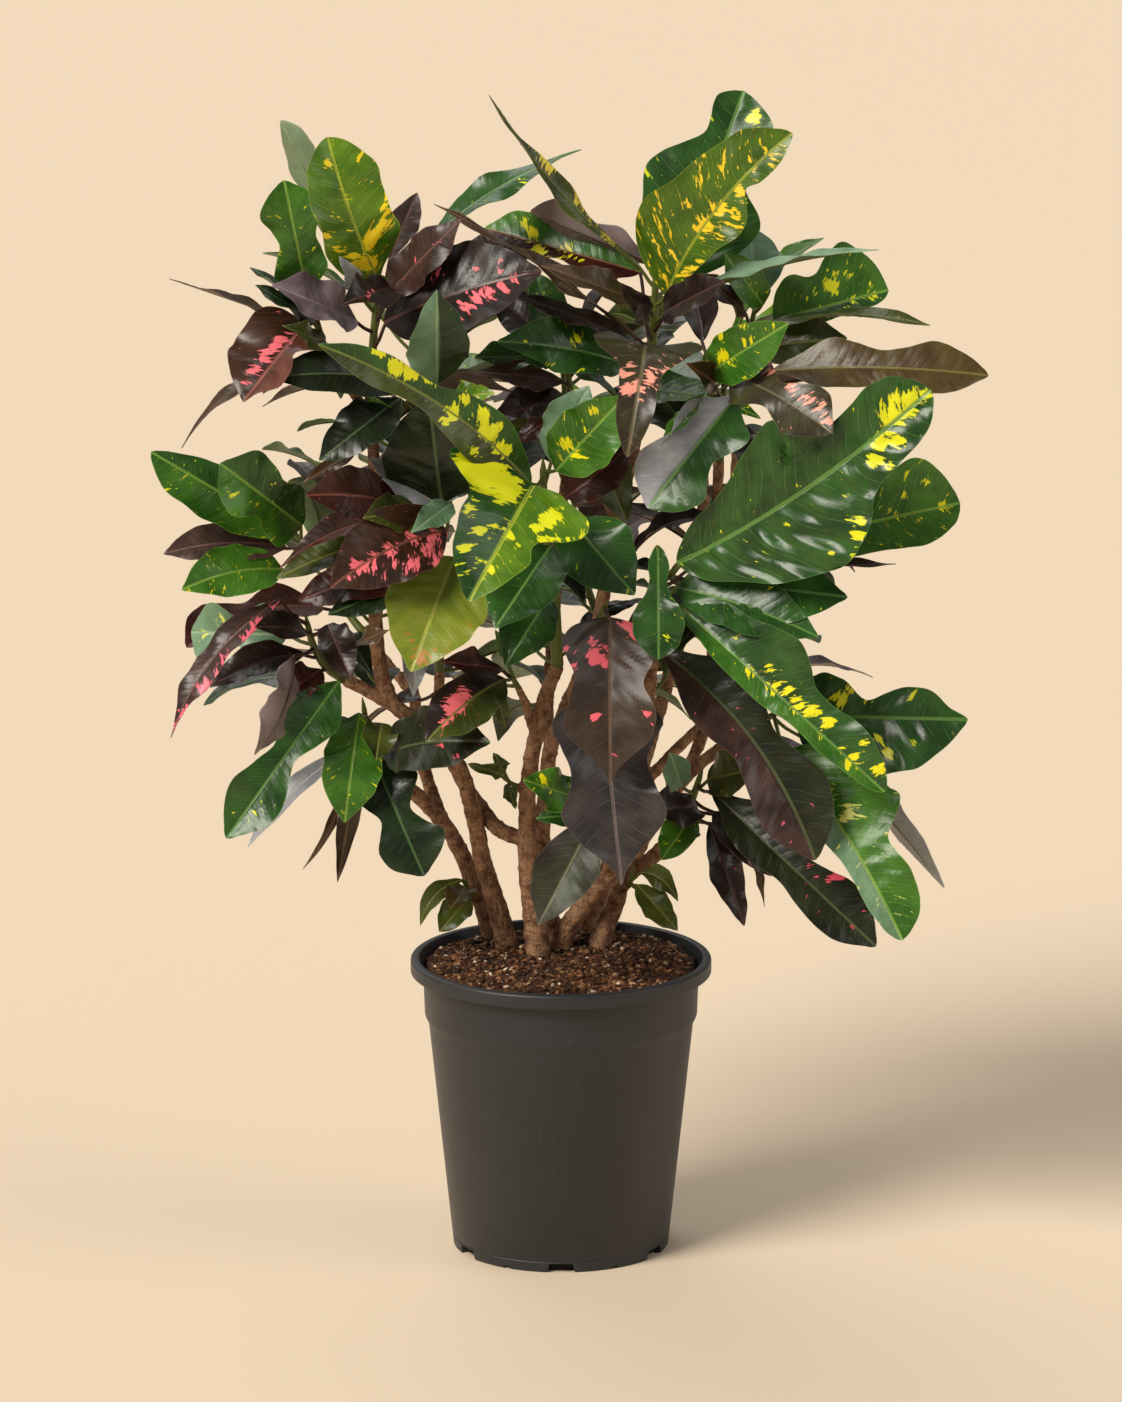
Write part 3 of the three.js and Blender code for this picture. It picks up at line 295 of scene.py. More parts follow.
SOIL_GAP = 0.3
SOIL_EDGE_HEIGHT = 232
SOIL_CROWN_HEIGHT = 238
SOIL_CROWN_RADIUS = 58
SOIL_SINK = 1.2
SOIL_SPREAD = 0.8  # how far the top reaches past the wall of the bed
SOIL_LUMPS = [(17, 2.3, 1.7), (5, 1.6, 4.1)]  # clods and grains: width, height, slice of the noise
SOIL_RINGS = 56
SOIL_SIDES = 150
SOIL_BROWN = "462a19"
SOIL_SHADE = "20120b"
# painted shade for the soil deep inside the pot
SOIL_DEEP_SHADE = "0d0806"
CRUMBS = 5200
CRUMB_SEED = 11
CRUMB_SIZES = (0.8, 3.6)
CRUMB_EDGE = 2  # crumbs keep this far from the wall
CRUMB_STRETCH = [(0.8, 1.5), (0.4, 0.9), (0.3, 0.7)]
CRUMB_BUMPS = (0.75, 1.2)
CRUMB_LEAN = 0.5
CRUMB_LIFT = 0.2
CRUMB_COLOURS = ["50301d", "653f27", "351f13", "7c5234", "8a6242"]
PERLITE_COLOURS = ["c9ac88", "e2d0b2", "a98a69"]
PERLITE_SHARE = 0.085


def between(ends, share):
    """From the first of two values to the second by the share."""
    return ends[0] + (ends[1] - ends[0]) * share


def bed_height(x, y):
    """Height of the soil's top: a shallow crown with clods and grains."""
    past_crown = math.hypot(x, y) - SOIL_CROWN_RADIUS
    fall = min(max(past_crown / (BAND_RADIUS - SOIL_CROWN_RADIUS), 0), 1)
    level = between((SOIL_CROWN_HEIGHT, SOIL_EDGE_HEIGHT), fall) - SOIL_SINK
    for width, height, layer in SOIL_LUMPS:
        level += height * noise.noise(Vector((x / width, y / width, layer)))
    return level


soil_wall = BAND_FOOT_RADIUS - WALL - SOIL_GAP
soil_outline = [(r, SOIL_EDGE_HEIGHT) for r in np.linspace(0, soil_wall + SOIL_SPREAD, SOIL_RINGS)]
soil_outline += [
    (soil_wall, BAND_FOOT_HEIGHT),
    (WALL_TOP_RADIUS - WALL - SOIL_GAP, WALL_TOP_HEIGHT),
    (FOOT_RADIUS - WALL - SOIL_GAP, POT_FLOOR + SOIL_GAP),
    (0, POT_FLOOR + SOIL_GAP),
]
bed_points, bed_faces = lathe(soil_outline, SOIL_SIDES)
top_count = 1 + (SOIL_RINGS - 1) * SOIL_SIDES
for i in range(top_count):
    x, y, _ = bed_points[i]
    bed_points[i] = (x, y, bed_height(x, y))

earth, paint = new_material("peat_and_bark")
where = paint.node("TexCoord", output="Object")
tint = paint.node("Attribute", {"attribute_name": "crumb_tint"}, output="Color")
fine = noise_at(paint, where, scale=260, detail=4, roughness=0.65)
coarse = noise_at(paint, where, scale=70, detail=3, roughness=0.6)
shade = paint.mix(coarse.step(0.3, 0.62), hex_colour(SOIL_SHADE), tint)
shade = paint.mix(fine.step(0.42, 0.75) * 0.6, shade, tint)
# Painted shade: towards the pot's floor the bed is painted darker, as the shade deep inside the pot.
deep_shade = 1.0 - where.part(2).step(0.06, 0.15)
coat_with(
    paint,
    colour=paint.mix(deep_shade, shade, hex_colour(SOIL_DEEP_SHADE)),
    roughness=0.8 + 0.15 * fine,
    specular=0.25,
    normal=bump_of(paint, fine, strength=0.7, distance=0.0012),
)


def tint_points(mesh, name, colours):
    """Keeps a colour at each point of a mesh."""
    layer = mesh.attributes.new(name, "FLOAT_COLOR", "POINT")
    layer.data.foreach_set("color", np.asarray(colours, dtype=np.float32).ravel())


bed = place_piece("soil_bed", bed_points, [f[::-1] for f in bed_faces], earth, "potting_soil")
tint_points(bed.data, "crumb_tint", [hex_colour(SOIL_BROWN)] * len(bed_points))
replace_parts(bed, "soil")

# A crumb starts as a ball of twenty faces, whose corners the golden ratio sets out.
GOLDEN = (1 + 5**0.5) / 2
CORNER_REACH = 1.9
BALL = np.array(
    [np.roll((a, b * GOLDEN, 0), turn) for turn in range(3) for b in (1, -1) for a in (-1, 1)]
) / CORNER_REACH
BALL_FACES = [
    (0, 11, 5), (0, 5, 1), (0, 1, 7), (0, 7, 10), (0, 10, 11), (1, 5, 9), (5, 11, 4), (11, 10, 2),
    (10, 7, 6), (7, 1, 8), (3, 9, 4), (3, 4, 2), (3, 2, 6), (3, 6, 8), (3, 8, 9), (4, 9, 5),
    (2, 4, 11), (6, 2, 10), (8, 6, 7), (9, 8, 1),
]
dice = random.Random(CRUMB_SEED)
crumb_points = []
crumb_faces = []
crumb_tints = []
for _ in range(CRUMBS):
    reach = (soil_wall - CRUMB_EDGE) * math.sqrt(dice.random())
    angle = 2 * math.pi * dice.random()
    x, y = reach * math.cos(angle), reach * math.sin(angle)
    size = between(CRUMB_SIZES, dice.random() ** 3)
    stretch = np.array([dice.uniform(*ends) for ends in CRUMB_STRETCH])
    turn, lean = 2 * math.pi * dice.random(), dice.uniform(-CRUMB_LEAN, CRUMB_LEAN)
    lump = BALL * stretch * size * np.array([[dice.uniform(*CRUMB_BUMPS)] for _ in BALL])
    c, s = math.cos(lean), math.sin(lean)
    lump = lump @ np.array(((c, 0, -s), (0, 1, 0), (s, 0, c)))
    c, s = math.cos(turn), math.sin(turn)
    lump = lump @ np.array(((c, s, 0), (-s, c, 0), (0, 0, 1)))
    low = len(crumb_points)
    crumb_points += list(lump + (x, y, bed_height(x, y) + CRUMB_LIFT * size))
    crumb_faces += [(low + a, low + b, low + c) for a, b, c in BALL_FACES]
    colours = PERLITE_COLOURS if dice.random() < PERLITE_SHARE else CRUMB_COLOURS
    crumb_tints += [hex_colour(dice.choice(colours))] * len(BALL)
crumbs = place_piece("soil_crumbs", crumb_points, crumb_faces, earth, "potting_soil")
tint_points(crumbs.data, "crumb_tint", crumb_tints)

# ---------------------------------------------------------------------------
# Woody stems: seven brown stems rise from the soil and fork. Bark is thin and rough, with the
# rings of old leaf scars, upright cracks and pale flecks.
# ---------------------------------------------------------------------------

# A place is given as the photograph's eye sees it, EYE_DISTANCE away and EYE_HEIGHT up: x and
# height on the upright plane through the pot's axis, and then the depth behind that plane.
EYE_DISTANCE = 6000
EYE_HEIGHT = 1860
EYE_PITCH = 13.26
UP = np.array((0.0, 0.0, 1.0))
STEM_BURIED = 45
BARK_SIDES = 16
BARK_STEP = 3.0
BARK_VOXEL = 0.0013
SCAR_SPACING = 13
SCAR_SHIFT = 5  # from each limb's scars to the next one's
SCAR_WIDTH = 2
SCAR_SWELL = (0.97, 0.09)  # the share of a stem's width between scars, and what a scar adds
# Ridges, knobs and knots: width, length, and which part of the noise.
BARK_LUMPS = [(2.6, 9, 0, 0), (9, 11, 3, 0), (4.5, 5, 0, 7)]
BARK_LIFTS = (0.45, 0.45, 2.0)  # how far ridges, knobs and knots stand out
KNOT_FROM = 0.32
BARK_EASING = (0.6, 3)  # how much the grown stem is smoothed, and how often
BARK_DARK = "6a4431"
BARK_LIGHT = "ad8462"
BARK_CRACK = "382216"
BARK_SCAR = "3f291b"
BARK_FLAKE = "c39c76"
BARK_FRECKLE = "c2a484"

# Each stem's limbs, as rows of x, height, depth and radius.
STEMS = {
    "centre": [
        [(-17, 231, 8, 10.5), (-26, 306, 5, 7.8), (-27, 342, 3, 7.2), (-26, 378, 0, 6.8),
         (-21, 413, -4, 6.3), (-13, 447, -8, 6), (-3, 475, -14, 5.6)],
        [(-27, 332, 4, 6), (-50, 342, 14, 6.5), (-64, 360, 34, 6), (-78, 380, 46, 5.5),
         (-92, 412, 45, 5), (-96, 446, 38, 4.6), (-96, 471, 25, 4.2)],
        [(-23, 425, -5, 4), (-28, 444, -13, 3.5), (-34, 457, -22, 3)],
        [(-26, 370, 2, 3.5), (-36, 377, -4, 2.8)],
    ],
    "left": [
        [(-42, 239, 33, 9.6), (-54, 288, 30, 7.8), (-62, 315, 26, 7.2), (-69, 351, 14, 6.8),
         (-79, 388, 2, 6.6), (-95, 410, -4, 6.5), (-116, 430, -6, 6.4), (-135, 448, -8, 6.3),
         (-145, 488, -8, 6), (-147, 560, -8, 5.5), (-147, 635, -8, 5), (-150, 690, -5, 4.6)],
        [(-128, 440, -7, 6), (-150, 453, -9, 5.5), (-170, 463, -10, 5)],
        [(-147, 540, -8, 4.5), (-170, 553, -14, 4.2), (-185, 562, -18, 4)],
        [(-147, 625, -8, 4.5), (-128, 645, -20, 4), (-118, 655, -28, 3.8)],
        [(-149, 670, -6, 4.5), (-160, 690, -14, 4), (-170, 704, -20, 3.8)],
    ],
    "back_left": [
        [(-54, 249, 66, 8.6), (-66, 288, 68, 7.2), (-79, 321, 62, 6.8), (-93, 346, 55, 6.4),
         (-115, 370, 45, 6), (-132, 386, 32, 5), (-140, 397, 20, 4.5)],
        [(-94, 348, 56, 5.5), (-108, 390, 80, 5.2), (-115, 440, 95, 5), (-125, 520, 110, 4.6),
         (-130, 590, 120, 4.4), (-120, 650, 118, 4.2)],
        [(-117, 452, 97, 4.5), (-140, 480, 118, 4.2), (-155, 500, 130, 4)],
        [(-65, 282, 71, 3.5), (-72, 286, 56, 3)],
    ],
    "middle": [
        [(-8, 243, 52, 9), (-15, 332, 45, 7.2), (-12, 369, 40, 6.6), (-7, 413, 33, 6),
         (11, 455, 22, 5.8), (28, 505, 18, 5.6), (40, 570, 20, 5.4), (55, 640, 18, 5.2),
         (68, 700, 8, 5)],
        [(3, 441, 26, 5), (12, 462, 5, 4.8), (17, 474, -8, 4.5)],
        [(44, 590, 20, 4.5), (30, 625, 18, 4.2), (18, 655, 15, 4)],
        [(-9, 400, 37, 5), (-10, 450, 75, 4.8), (-5, 520, 110, 4.6), (0, 590, 130, 4.4),
         (5, 640, 132, 4.2)],
    ],
    "front_right": [
        [(0, 245, 28, 9), (14, 274, 20, 7.8), (36, 301, 12, 7.4), (55, 340, 8, 6.8), (64, 390, 4, 6.4),
         (68, 440, -4, 6), (72, 480, -16, 5.6)],
        [(36, 301, 12, 4), (38, 318, -6, 3.5)],
    ],
    "right": [
        [(31, 247, 35, 9), (43, 280, 35, 7.6), (51, 303, 35, 7.2), (70, 316, 30, 6.3),
         (88, 335, 22, 5.5), (96, 350, 15, 5)],
        [(51, 303, 35, 6.5), (72, 345, 44, 6), (100, 385, 44, 5.5), (130, 410, 35, 5),
         (145, 420, 25, 4.5)],
        [(95, 378, 44, 5), (115, 430, 60, 5), (120, 500, 62, 4.8), (122, 570, 45, 4.6),
         (124, 640, 20, 4.3)],
        [(122, 555, 48, 4.4), (135, 610, 50, 4.2), (138, 660, 42, 4), (137, 690, 36, 3.8)],
        [(46, 290, 36, 3.5), (54, 296, 22, 3)],
    ],
    "back_right": [
        [(22, 252, 82, 8.5), (35, 300, 90, 8), (55, 360, 105, 7), (75, 430, 120, 6),
         (95, 500, 130, 5.4), (110, 580, 135, 5), (112, 640, 130, 4.6)],
        [(58, 370, 107, 5), (90, 405, 125, 4.6), (115, 430, 135, 4.2)],
        [(68, 408, 115, 5), (50, 460, 150, 4.6), (35, 500, 170, 4.2)],
    ],
}


def seen(place):
    """The real place of something that the eye sees at x and height, at a known depth."""
    x, height, depth = place[:3]
    share = depth / EYE_DISTANCE
    return np.array((x * (1 + share), depth, height + (height - EYE_HEIGHT) * share))


def unit(vectors):
    return vectors / np.linalg.norm(vectors, axis=-1, keepdims=True)


def smooth_line(places, radii, step):
    """A smooth line through places, with points about a step apart, and its radii."""
    knots = np.column_stack((np.asarray(places, dtype=float), radii))
    knots = np.vstack((2 * knots[0] - knots[1], knots, 2 * knots[-1] - knots[-2]))
    points = []
    for a, b, c, d in zip(knots, knots[1:], knots[2:], knots[3:]):
        count = max(2, round(np.linalg.norm((c - b)[:3]) / step))
        t = np.linspace(0, 1, count, endpoint=False)[:, None]
        bend = 2 * a - 5 * b + 4 * c - d + t * (3 * b - a - 3 * c + d)
        points.append(b + 0.5 * t * (c - a + t * bend))
    line = np.vstack((*points, knots[-2]))
    return line[:, :3], line[:, 3]


def tube(line, radii, sides, taper=0.0):
    """A closed tube along a line, its ends rounded over. Returns its points, ring by ring."""
    along = unit(np.gradient(line, axis=0))
    across = np.cross(along[0], UP if abs(along[0][2]) < 0.8 else (0, 1, 0))
    angles = np.linspace(0, 2 * math.pi, sides, endpoint=False)
    rings = []
    for place, way, radius in zip(line, along, radii):
        across = unit(across - way * across.dot(way))
        over = np.cross(way, across)
        spread = np.outer(np.cos(angles), across) + np.outer(np.sin(angles), over)
        rings.append(place + radius * spread)
    first, last = rings[0].mean(axis=0), rings[-1].mean(axis=0)
    rings.insert(0, first + (rings[0] - first) * 0.6 - along[0] * radii[0] * 0.3)
    rings.append(last + (rings[-1] - last) * 0.6 + along[-1] * (radii[-1] * 0.3 + taper * 0.5))
    rings.append(last + (rings[-2] - last) * 0.2 + along[-1] * (radii[-1] * 0.45 + taper))
    return np.vstack(rings)


def tube_faces(count, sides, low):
    """The faces of a tube of so many points that starts at the point numbered low."""
    faces = [tuple(range(low + sides - 1, low - 1, -1))]
    for at in range(low, low + count - sides, sides):
        for i in range(sides):
            j = (i + 1) % sides
            faces.append((at + i, at + j, at + sides + j, at + sides + i))
    faces.append(tuple(range(low + count - sides, low + count)))
    return faces


bark, paint = new_material("croton_bark")
where = paint.node("TexCoord", output="Object")
stretched = paint.node("VectorMath", {"operation": "MULTIPLY"}, {0: where, 1: (1.0, 1.0, 0.28)})
cracks = noise_at(paint, stretched, scale=420, detail=3, roughness=0.6)
patches = noise_at(paint, where, scale=110, detail=4, roughness=0.65)
flakes = noise_at(paint, where, scale=480, detail=2.5, roughness=0.6)
specks = paint.node("TexVoronoi", inputs={"Vector": where, "Scale": 260.0}, output="Distance")
freckle = (0.2 - specks).step(0.0, 0.06) * noise_at(paint, where, scale=60, detail=1).step(0.5, 0.65)
scars = paint.maths("FRACT", where.part(2) * 110 + 2.4 * noise_at(paint, where, scale=60, detail=2) + 9)
scar = (0.07 - paint.maths("ABSOLUTE", scars - 0.5)).step(0.0, 0.05)
scar = scar * noise_at(paint, where, scale=70, detail=1).step(0.4, 0.6)
brown = paint.mix(patches.step(0.32, 0.66), hex_colour(BARK_DARK), hex_colour(BARK_LIGHT))
brown = paint.mix((0.45 - cracks).step(0.0, 0.12) * 0.6, brown, hex_colour(BARK_CRACK))
brown = paint.mix(scar * 0.35, brown, hex_colour(BARK_SCAR))
brown = paint.mix(flakes.step(0.56, 0.75) * 0.5, brown, hex_colour(BARK_FLAKE))
coat_with(
    paint,
    colour=paint.mix(freckle * 0.5, brown, hex_colour(BARK_FRECKLE)),
    roughness=0.62 + 0.2 * flakes,
    specular=0.35,
    normal=bump_of(paint, cracks * 0.9 + flakes * 0.6 - 0.3 * scar, strength=1.0, distance=0.0024),
)


def bark_height(point):
    """How far the bark stands out at a place: ridges, knobs and a few knots."""
    x, y, z = point
    ridge, knob, knot = (
        noise.noise(Vector((x / width + aside, y / width + back, z / length)))
        for width, length, aside, back in BARK_LUMPS
    )
    knot = max(knot - KNOT_FROM, 0)
    return BARK_LIFTS[0] * ridge + BARK_LIFTS[1] * knob + BARK_LIFTS[2] * knot


for name, limbs in STEMS.items():
    points = []
    faces = []
    for number, rows in enumerate(limbs):
        places = [seen(row) for row in rows]
        radii = [row[3] for row in rows]
        if number == 0:
            places.insert(0, places[0] - STEM_BURIED * UP)
            radii.insert(0, radii[0])
        line, widths = smooth_line(places, radii, BARK_STEP)
        run = np.arange(len(line)) * BARK_STEP + SCAR_SHIFT * number
        scars = np.exp(-((run % SCAR_SPACING - SCAR_SPACING / 2) ** 2) / SCAR_WIDTH**2)
        limb = tube(line, widths * (SCAR_SWELL[0] + SCAR_SWELL[1] * scars), BARK_SIDES)
        faces += tube_faces(len(limb), BARK_SIDES, len(points))
        points += list(limb)
    stem = place_piece("woody_stem_" + name, points, faces, bark, "bark")
    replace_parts(stem, "stem_" + name)
    grown = stem.modifiers.new("grown_together", "REMESH")
    grown.mode = "VOXEL"
    grown.voxel_size = BARK_VOXEL
    grown.use_smooth_shade = True
    eased = stem.modifiers.new("eased", "SMOOTH")
    eased.factor, eased.iterations = BARK_EASING
    settle(stem)
    skin = stem.data
    at = np.empty(len(skin.vertices) * 3, dtype=np.float32)
    out = np.empty_like(at)
    skin.vertices.foreach_get("co", at)
    skin.vertices.foreach_get("normal", out)
    at, out = at.reshape(-1, 3), out.reshape(-1, 3)
    lift = np.array([bark_height(point) for point in at / METRES], dtype=np.float32)
    at += out * lift[:, None] * METRES
    skin.vertices.foreach_set("co", at.ravel())
    skin.update()

# ---------------------------------------------------------------------------
# Leafy shoots: each is one grown piece, a thin stem with its leaves. A leaf is a leathery glossy
# blade on a short petiole, folded along its midrib and waved at its edge. Crisp patches follow
# its side veins, yellow on green leaves and pink on the dark ones. The back is paler and duller.
# ---------------------------------------------------------------------------

PETIOLE_RADIUS = 1.5
PETIOLE_FLARE = 0.3  # how much thicker a petiole is on its stem
PETIOLE_FALL = 12  # how far below the blade's foot a petiole looks for its place on the stem
STALK_STEP = 7
STALK_SIDES = 7
RIDGE_SHARES = (0, 0.06, 0.2, 0.4, 0.6, 0.8, 0.92)  # places of the midrib along the blade
RIDGE_RADII = (1.4, 1.2, 1.0, 0.8, 0.6, 0.45, 0.3)  # and its radii there, under the blade
RIDGE_SUNK = 0.2  # how far it rises into the blade
SHOOT_STEP = 6
SHOOT_SIDES = 10
SHOOT_TIP = 0.55  # a shoot's stem at its tip, as a share of its foot
SHOOT_GAP = 0.3
BUD_LENGTH = 9
PLACES_PER_SPAN = 7  # where leaves can root, on each span of a stem
FOLD = (6, 20)  # of a blade's halves upwards, in degrees
WAVE = (4, 12)  # height of the waves at the edge of the widest part
WAVES = (1, 2.2)  # how many run along a blade
RIPPLE = (0.025, 4.3)  # of the outline: a share of the width, and how many along a blade
RIPPLE_SHIFTS = np.array((0.1, 0.45))
FRILL = 1.1  # height of the small waves right at the edge
FOLD_CURVE = 0.25  # how much of the fold comes only towards the edge
BLADE_THICKNESS = 0.8
EDGE_THINNING = 0.65
GROOVE = 0.35  # depth of the groove over the midrib
ROW_SPACING = 2.6
ROWS_PER_VEIN = 3.4
ROW_CROWDING = 0.35  # how much a blade's rows crowd at its ends
FEWEST_ROWS = 12
HALF_COLUMNS = (0.13, 0.27, 0.42, 0.56, 0.7, 0.83, 0.94, 1)
WIDE_HALF_COLUMNS = (0.07, 0.15, 0.24, 0.33, 0.42, 0.51, 0.6, 0.69, 0.78, 0.87, 0.95, 1)
WIDE_LEAF = 74
VEIN_SPACING = (3.6, 0.072)  # of the side veins: for the narrowest leaf, and more for wide ones
VEIN_SHIFT = 0.35  # between the side veins of the two halves
VEIN_LEAN = 0.5  # how far the side veins lean to the tip on their way out
VEIN_BEND = 0.044  # and how much more they lean towards the edge
VEIN_WANDER = (0.16, 0.1)  # how far they wander, along the blade and on their way out
PUCKER_HEIGHT = 0.010  # of the swellings between veins, as a share of the leaf's width
QUILT_HEIGHT = 0.02  # of the blade between two side veins, as a share of their spacing
PUCKERS_FROM = 0.2  # where they are full, as a share of the way out from the midrib
QUILTS_FROM = 0.15
PUCKERED = {"wing": 2.8, "sweep": 1.5, "notched_left": 1.5, "spatula": 1.3}
BACK_TINTS = {"blade": 1.0, "shade": 0.7, "patch_tint": 1.5, "vein_tint": 1.45}
PALE_BACK = 0.45  # how far a patch on the back of a leaf takes the colour of the back
BACK_PATCHES = 0.85
BACK_DULL = 0.5
SHARP_EDGE = 70
TO_EYE = np.array((0, -math.cos(math.radians(EYE_PITCH)), math.sin(math.radians(EYE_PITCH))))

# The outline of a blade: shares of its length, then of half its width on the left and right of
# the midrib with the tip upwards.
FORMS = {
    "oval": [(0.04, 0.22, 0.2), (0.13, 0.57, 0.54), (0.38, 1, 0.98), (0.66, 0.9, 0.94),
        (0.86, 0.5, 0.53), (0.95, 0.2, 0.2)],
    "lance": [(0.18, 0.6, 0.6), (0.48, 1, 1), (0.82, 0.5, 0.5), (0.95, 0.15, 0.15)],
    "sliver": [(0.3, 1, 1), (0.7, 0.75, 0.75), (0.93, 0.25, 0.25)],
    "fiddle": [(0.1, 0.4, 0.34), (0.27, 0.92, 0.82), (0.38, 0.78, 0.76), (0.5, 0.54, 0.64),
        (0.62, 0.72, 0.76), (0.76, 0.97, 0.92), (0.88, 0.72, 0.7), (0.96, 0.3, 0.28)],
    "deep": [(0.08, 0.45, 0.4), (0.24, 0.92, 0.96), (0.36, 0.66, 0.74), (0.48, 0.4, 0.5),
        (0.6, 0.64, 0.7), (0.74, 0.97, 0.92), (0.87, 0.72, 0.7), (0.95, 0.32, 0.32)],
    "drop": [(0.06, 0.6, 0.6), (0.17, 1, 0.98), (0.28, 0.86, 0.88), (0.39, 0.68, 0.74),
        (0.52, 0.8, 0.84), (0.64, 0.92, 0.96), (0.74, 0.78, 0.78), (0.83, 0.44, 0.44),
        (0.91, 0.16, 0.16), (0.96, 0.07, 0.07)],
    "lobed": [(0.03, 0.26, 0.62), (0.1, 0.46, 0.9), (0.18, 0.68, 1.02), (0.26, 0.86, 1.12),
        (0.32, 0.9, 0.92), (0.39, 0.74, 0.7), (0.46, 0.46, 0.64), (0.55, 0.38, 0.62),
        (0.64, 0.43, 0.6), (0.82, 0.3, 0.44), (0.94, 0.13, 0.2)],
    "wing": [(0.06, 0.26, 0.34), (0.13, 0.42, 0.52), (0.2, 0.5, 0.66), (0.32, 0.66, 0.94),
        (0.42, 0.88, 1.07), (0.49, 0.98, 1.1), (0.56, 0.94, 1.03), (0.61, 0.55, 0.9),
        (0.67, 0.52, 0.6), (0.78, 0.52, 0.49), (0.88, 0.58, 0.42), (0.96, 0.38, 0.24)],
    "spatula": [(0.07, 0.25, 0.24), (0.2, 0.72, 0.72), (0.35, 0.93, 0.94), (0.51, 0.87, 0.88),
        (0.68, 0.9, 0.95), (0.83, 0.74, 0.82), (0.92, 0.48, 0.54), (0.97, 0.26, 0.3)],
    "violin": [(0.05, 0.3, 0.3), (0.14, 0.66, 0.62), (0.31, 1, 1), (0.43, 0.8, 0.84),
        (0.54, 0.48, 0.52), (0.65, 0.5, 0.52), (0.77, 0.6, 0.62), (0.89, 0.42, 0.44),
        (0.96, 0.18, 0.18)],
    "notched_left": [(0.04, 0.5, 0.4), (0.12, 0.74, 0.7), (0.28, 0.66, 0.97), (0.41, 0.31, 1.02),
        (0.52, 0.42, 1.06), (0.66, 0.56, 1), (0.8, 0.46, 0.74), (0.9, 0.2, 0.44), (0.96, 0.1, 0.2)],
    "notched_right": [(0.04, 0.4, 0.2), (0.11, 0.88, 0.3), (0.23, 1.24, 0.42), (0.36, 1.2, 0.58),
        (0.5, 0.98, 0.72), (0.6, 0.92, 0.6), (0.66, 0.9, 0.24), (0.75, 0.8, 0.34), (0.86, 0.64, 0.36),
        (0.95, 0.3, 0.18)],
    "sweep": [(0.04, 0.5, 0.2), (0.13, 0.9, 0.32), (0.25, 1.08, 0.46), (0.36, 1.3, 0.52),
        (0.45, 1.48, 0.52), (0.52, 1.16, 0.46), (0.57, 0.84, 0.4), (0.65, 0.78, 0.38),
        (0.76, 0.88, 0.4), (0.88, 0.74, 0.32), (0.96, 0.4, 0.2)],
    "shouldered": [(0.05, 0.5, 0.5), (0.13, 0.8, 0.76), (0.25, 1, 0.96), (0.36, 0.78, 0.82),
        (0.47, 0.46, 0.5), (0.62, 0.34, 0.36), (0.82, 0.32, 0.32), (0.95, 0.14, 0.14)],
    "crested": [(0.05, 0.5, 0.16), (0.14, 0.86, 0.28), (0.27, 0.96, 0.36), (0.37, 0.86, 0.38),
        (0.46, 0.88, 0.38), (0.56, 1.26, 0.36), (0.67, 1.46, 0.34), (0.79, 1.34, 0.32),
        (0.9, 0.9, 0.26), (0.97, 0.4, 0.14)],
    "spoon": [(0.07, 0.26, 0.26), (0.2, 0.62, 0.62), (0.35, 0.8, 0.81), (0.52, 0.74, 0.77),
        (0.68, 0.76, 0.8), (0.78, 0.98, 0.84), (0.87, 1.1, 0.82), (0.94, 0.8, 0.6), (0.98, 0.4, 0.34)],
    "crowned": [(0.05, 0.28, 0.28), (0.14, 0.6, 0.6), (0.24, 0.82, 0.86), (0.34, 0.96, 1.0),
        (0.45, 1.03, 0.92), (0.53, 1.04, 0.62), (0.59, 0.92, 0.48), (0.66, 0.62, 0.5),
        (0.73, 0.38, 0.56), (0.82, 0.36, 0.66), (0.89, 0.38, 0.62), (0.95, 0.32, 0.38),
        (0.98, 0.18, 0.2)],
    "leaning": [(0.05, 0.28, 0.28), (0.14, 0.56, 0.56), (0.3, 0.88, 0.78), (0.46, 1.02, 0.8),
        (0.62, 1.08, 0.76), (0.76, 0.98, 0.6), (0.87, 0.74, 0.4), (0.95, 0.38, 0.2)],
    "paddle": [(0.08, 0.28, 0.24), (0.2, 0.44, 0.38), (0.34, 0.38, 0.34), (0.46, 0.46, 0.5),
        (0.57, 0.8, 0.84), (0.7, 1.02, 1.02), (0.83, 0.94, 0.94), (0.92, 0.64, 0.64),
        (0.97, 0.34, 0.34)],
}

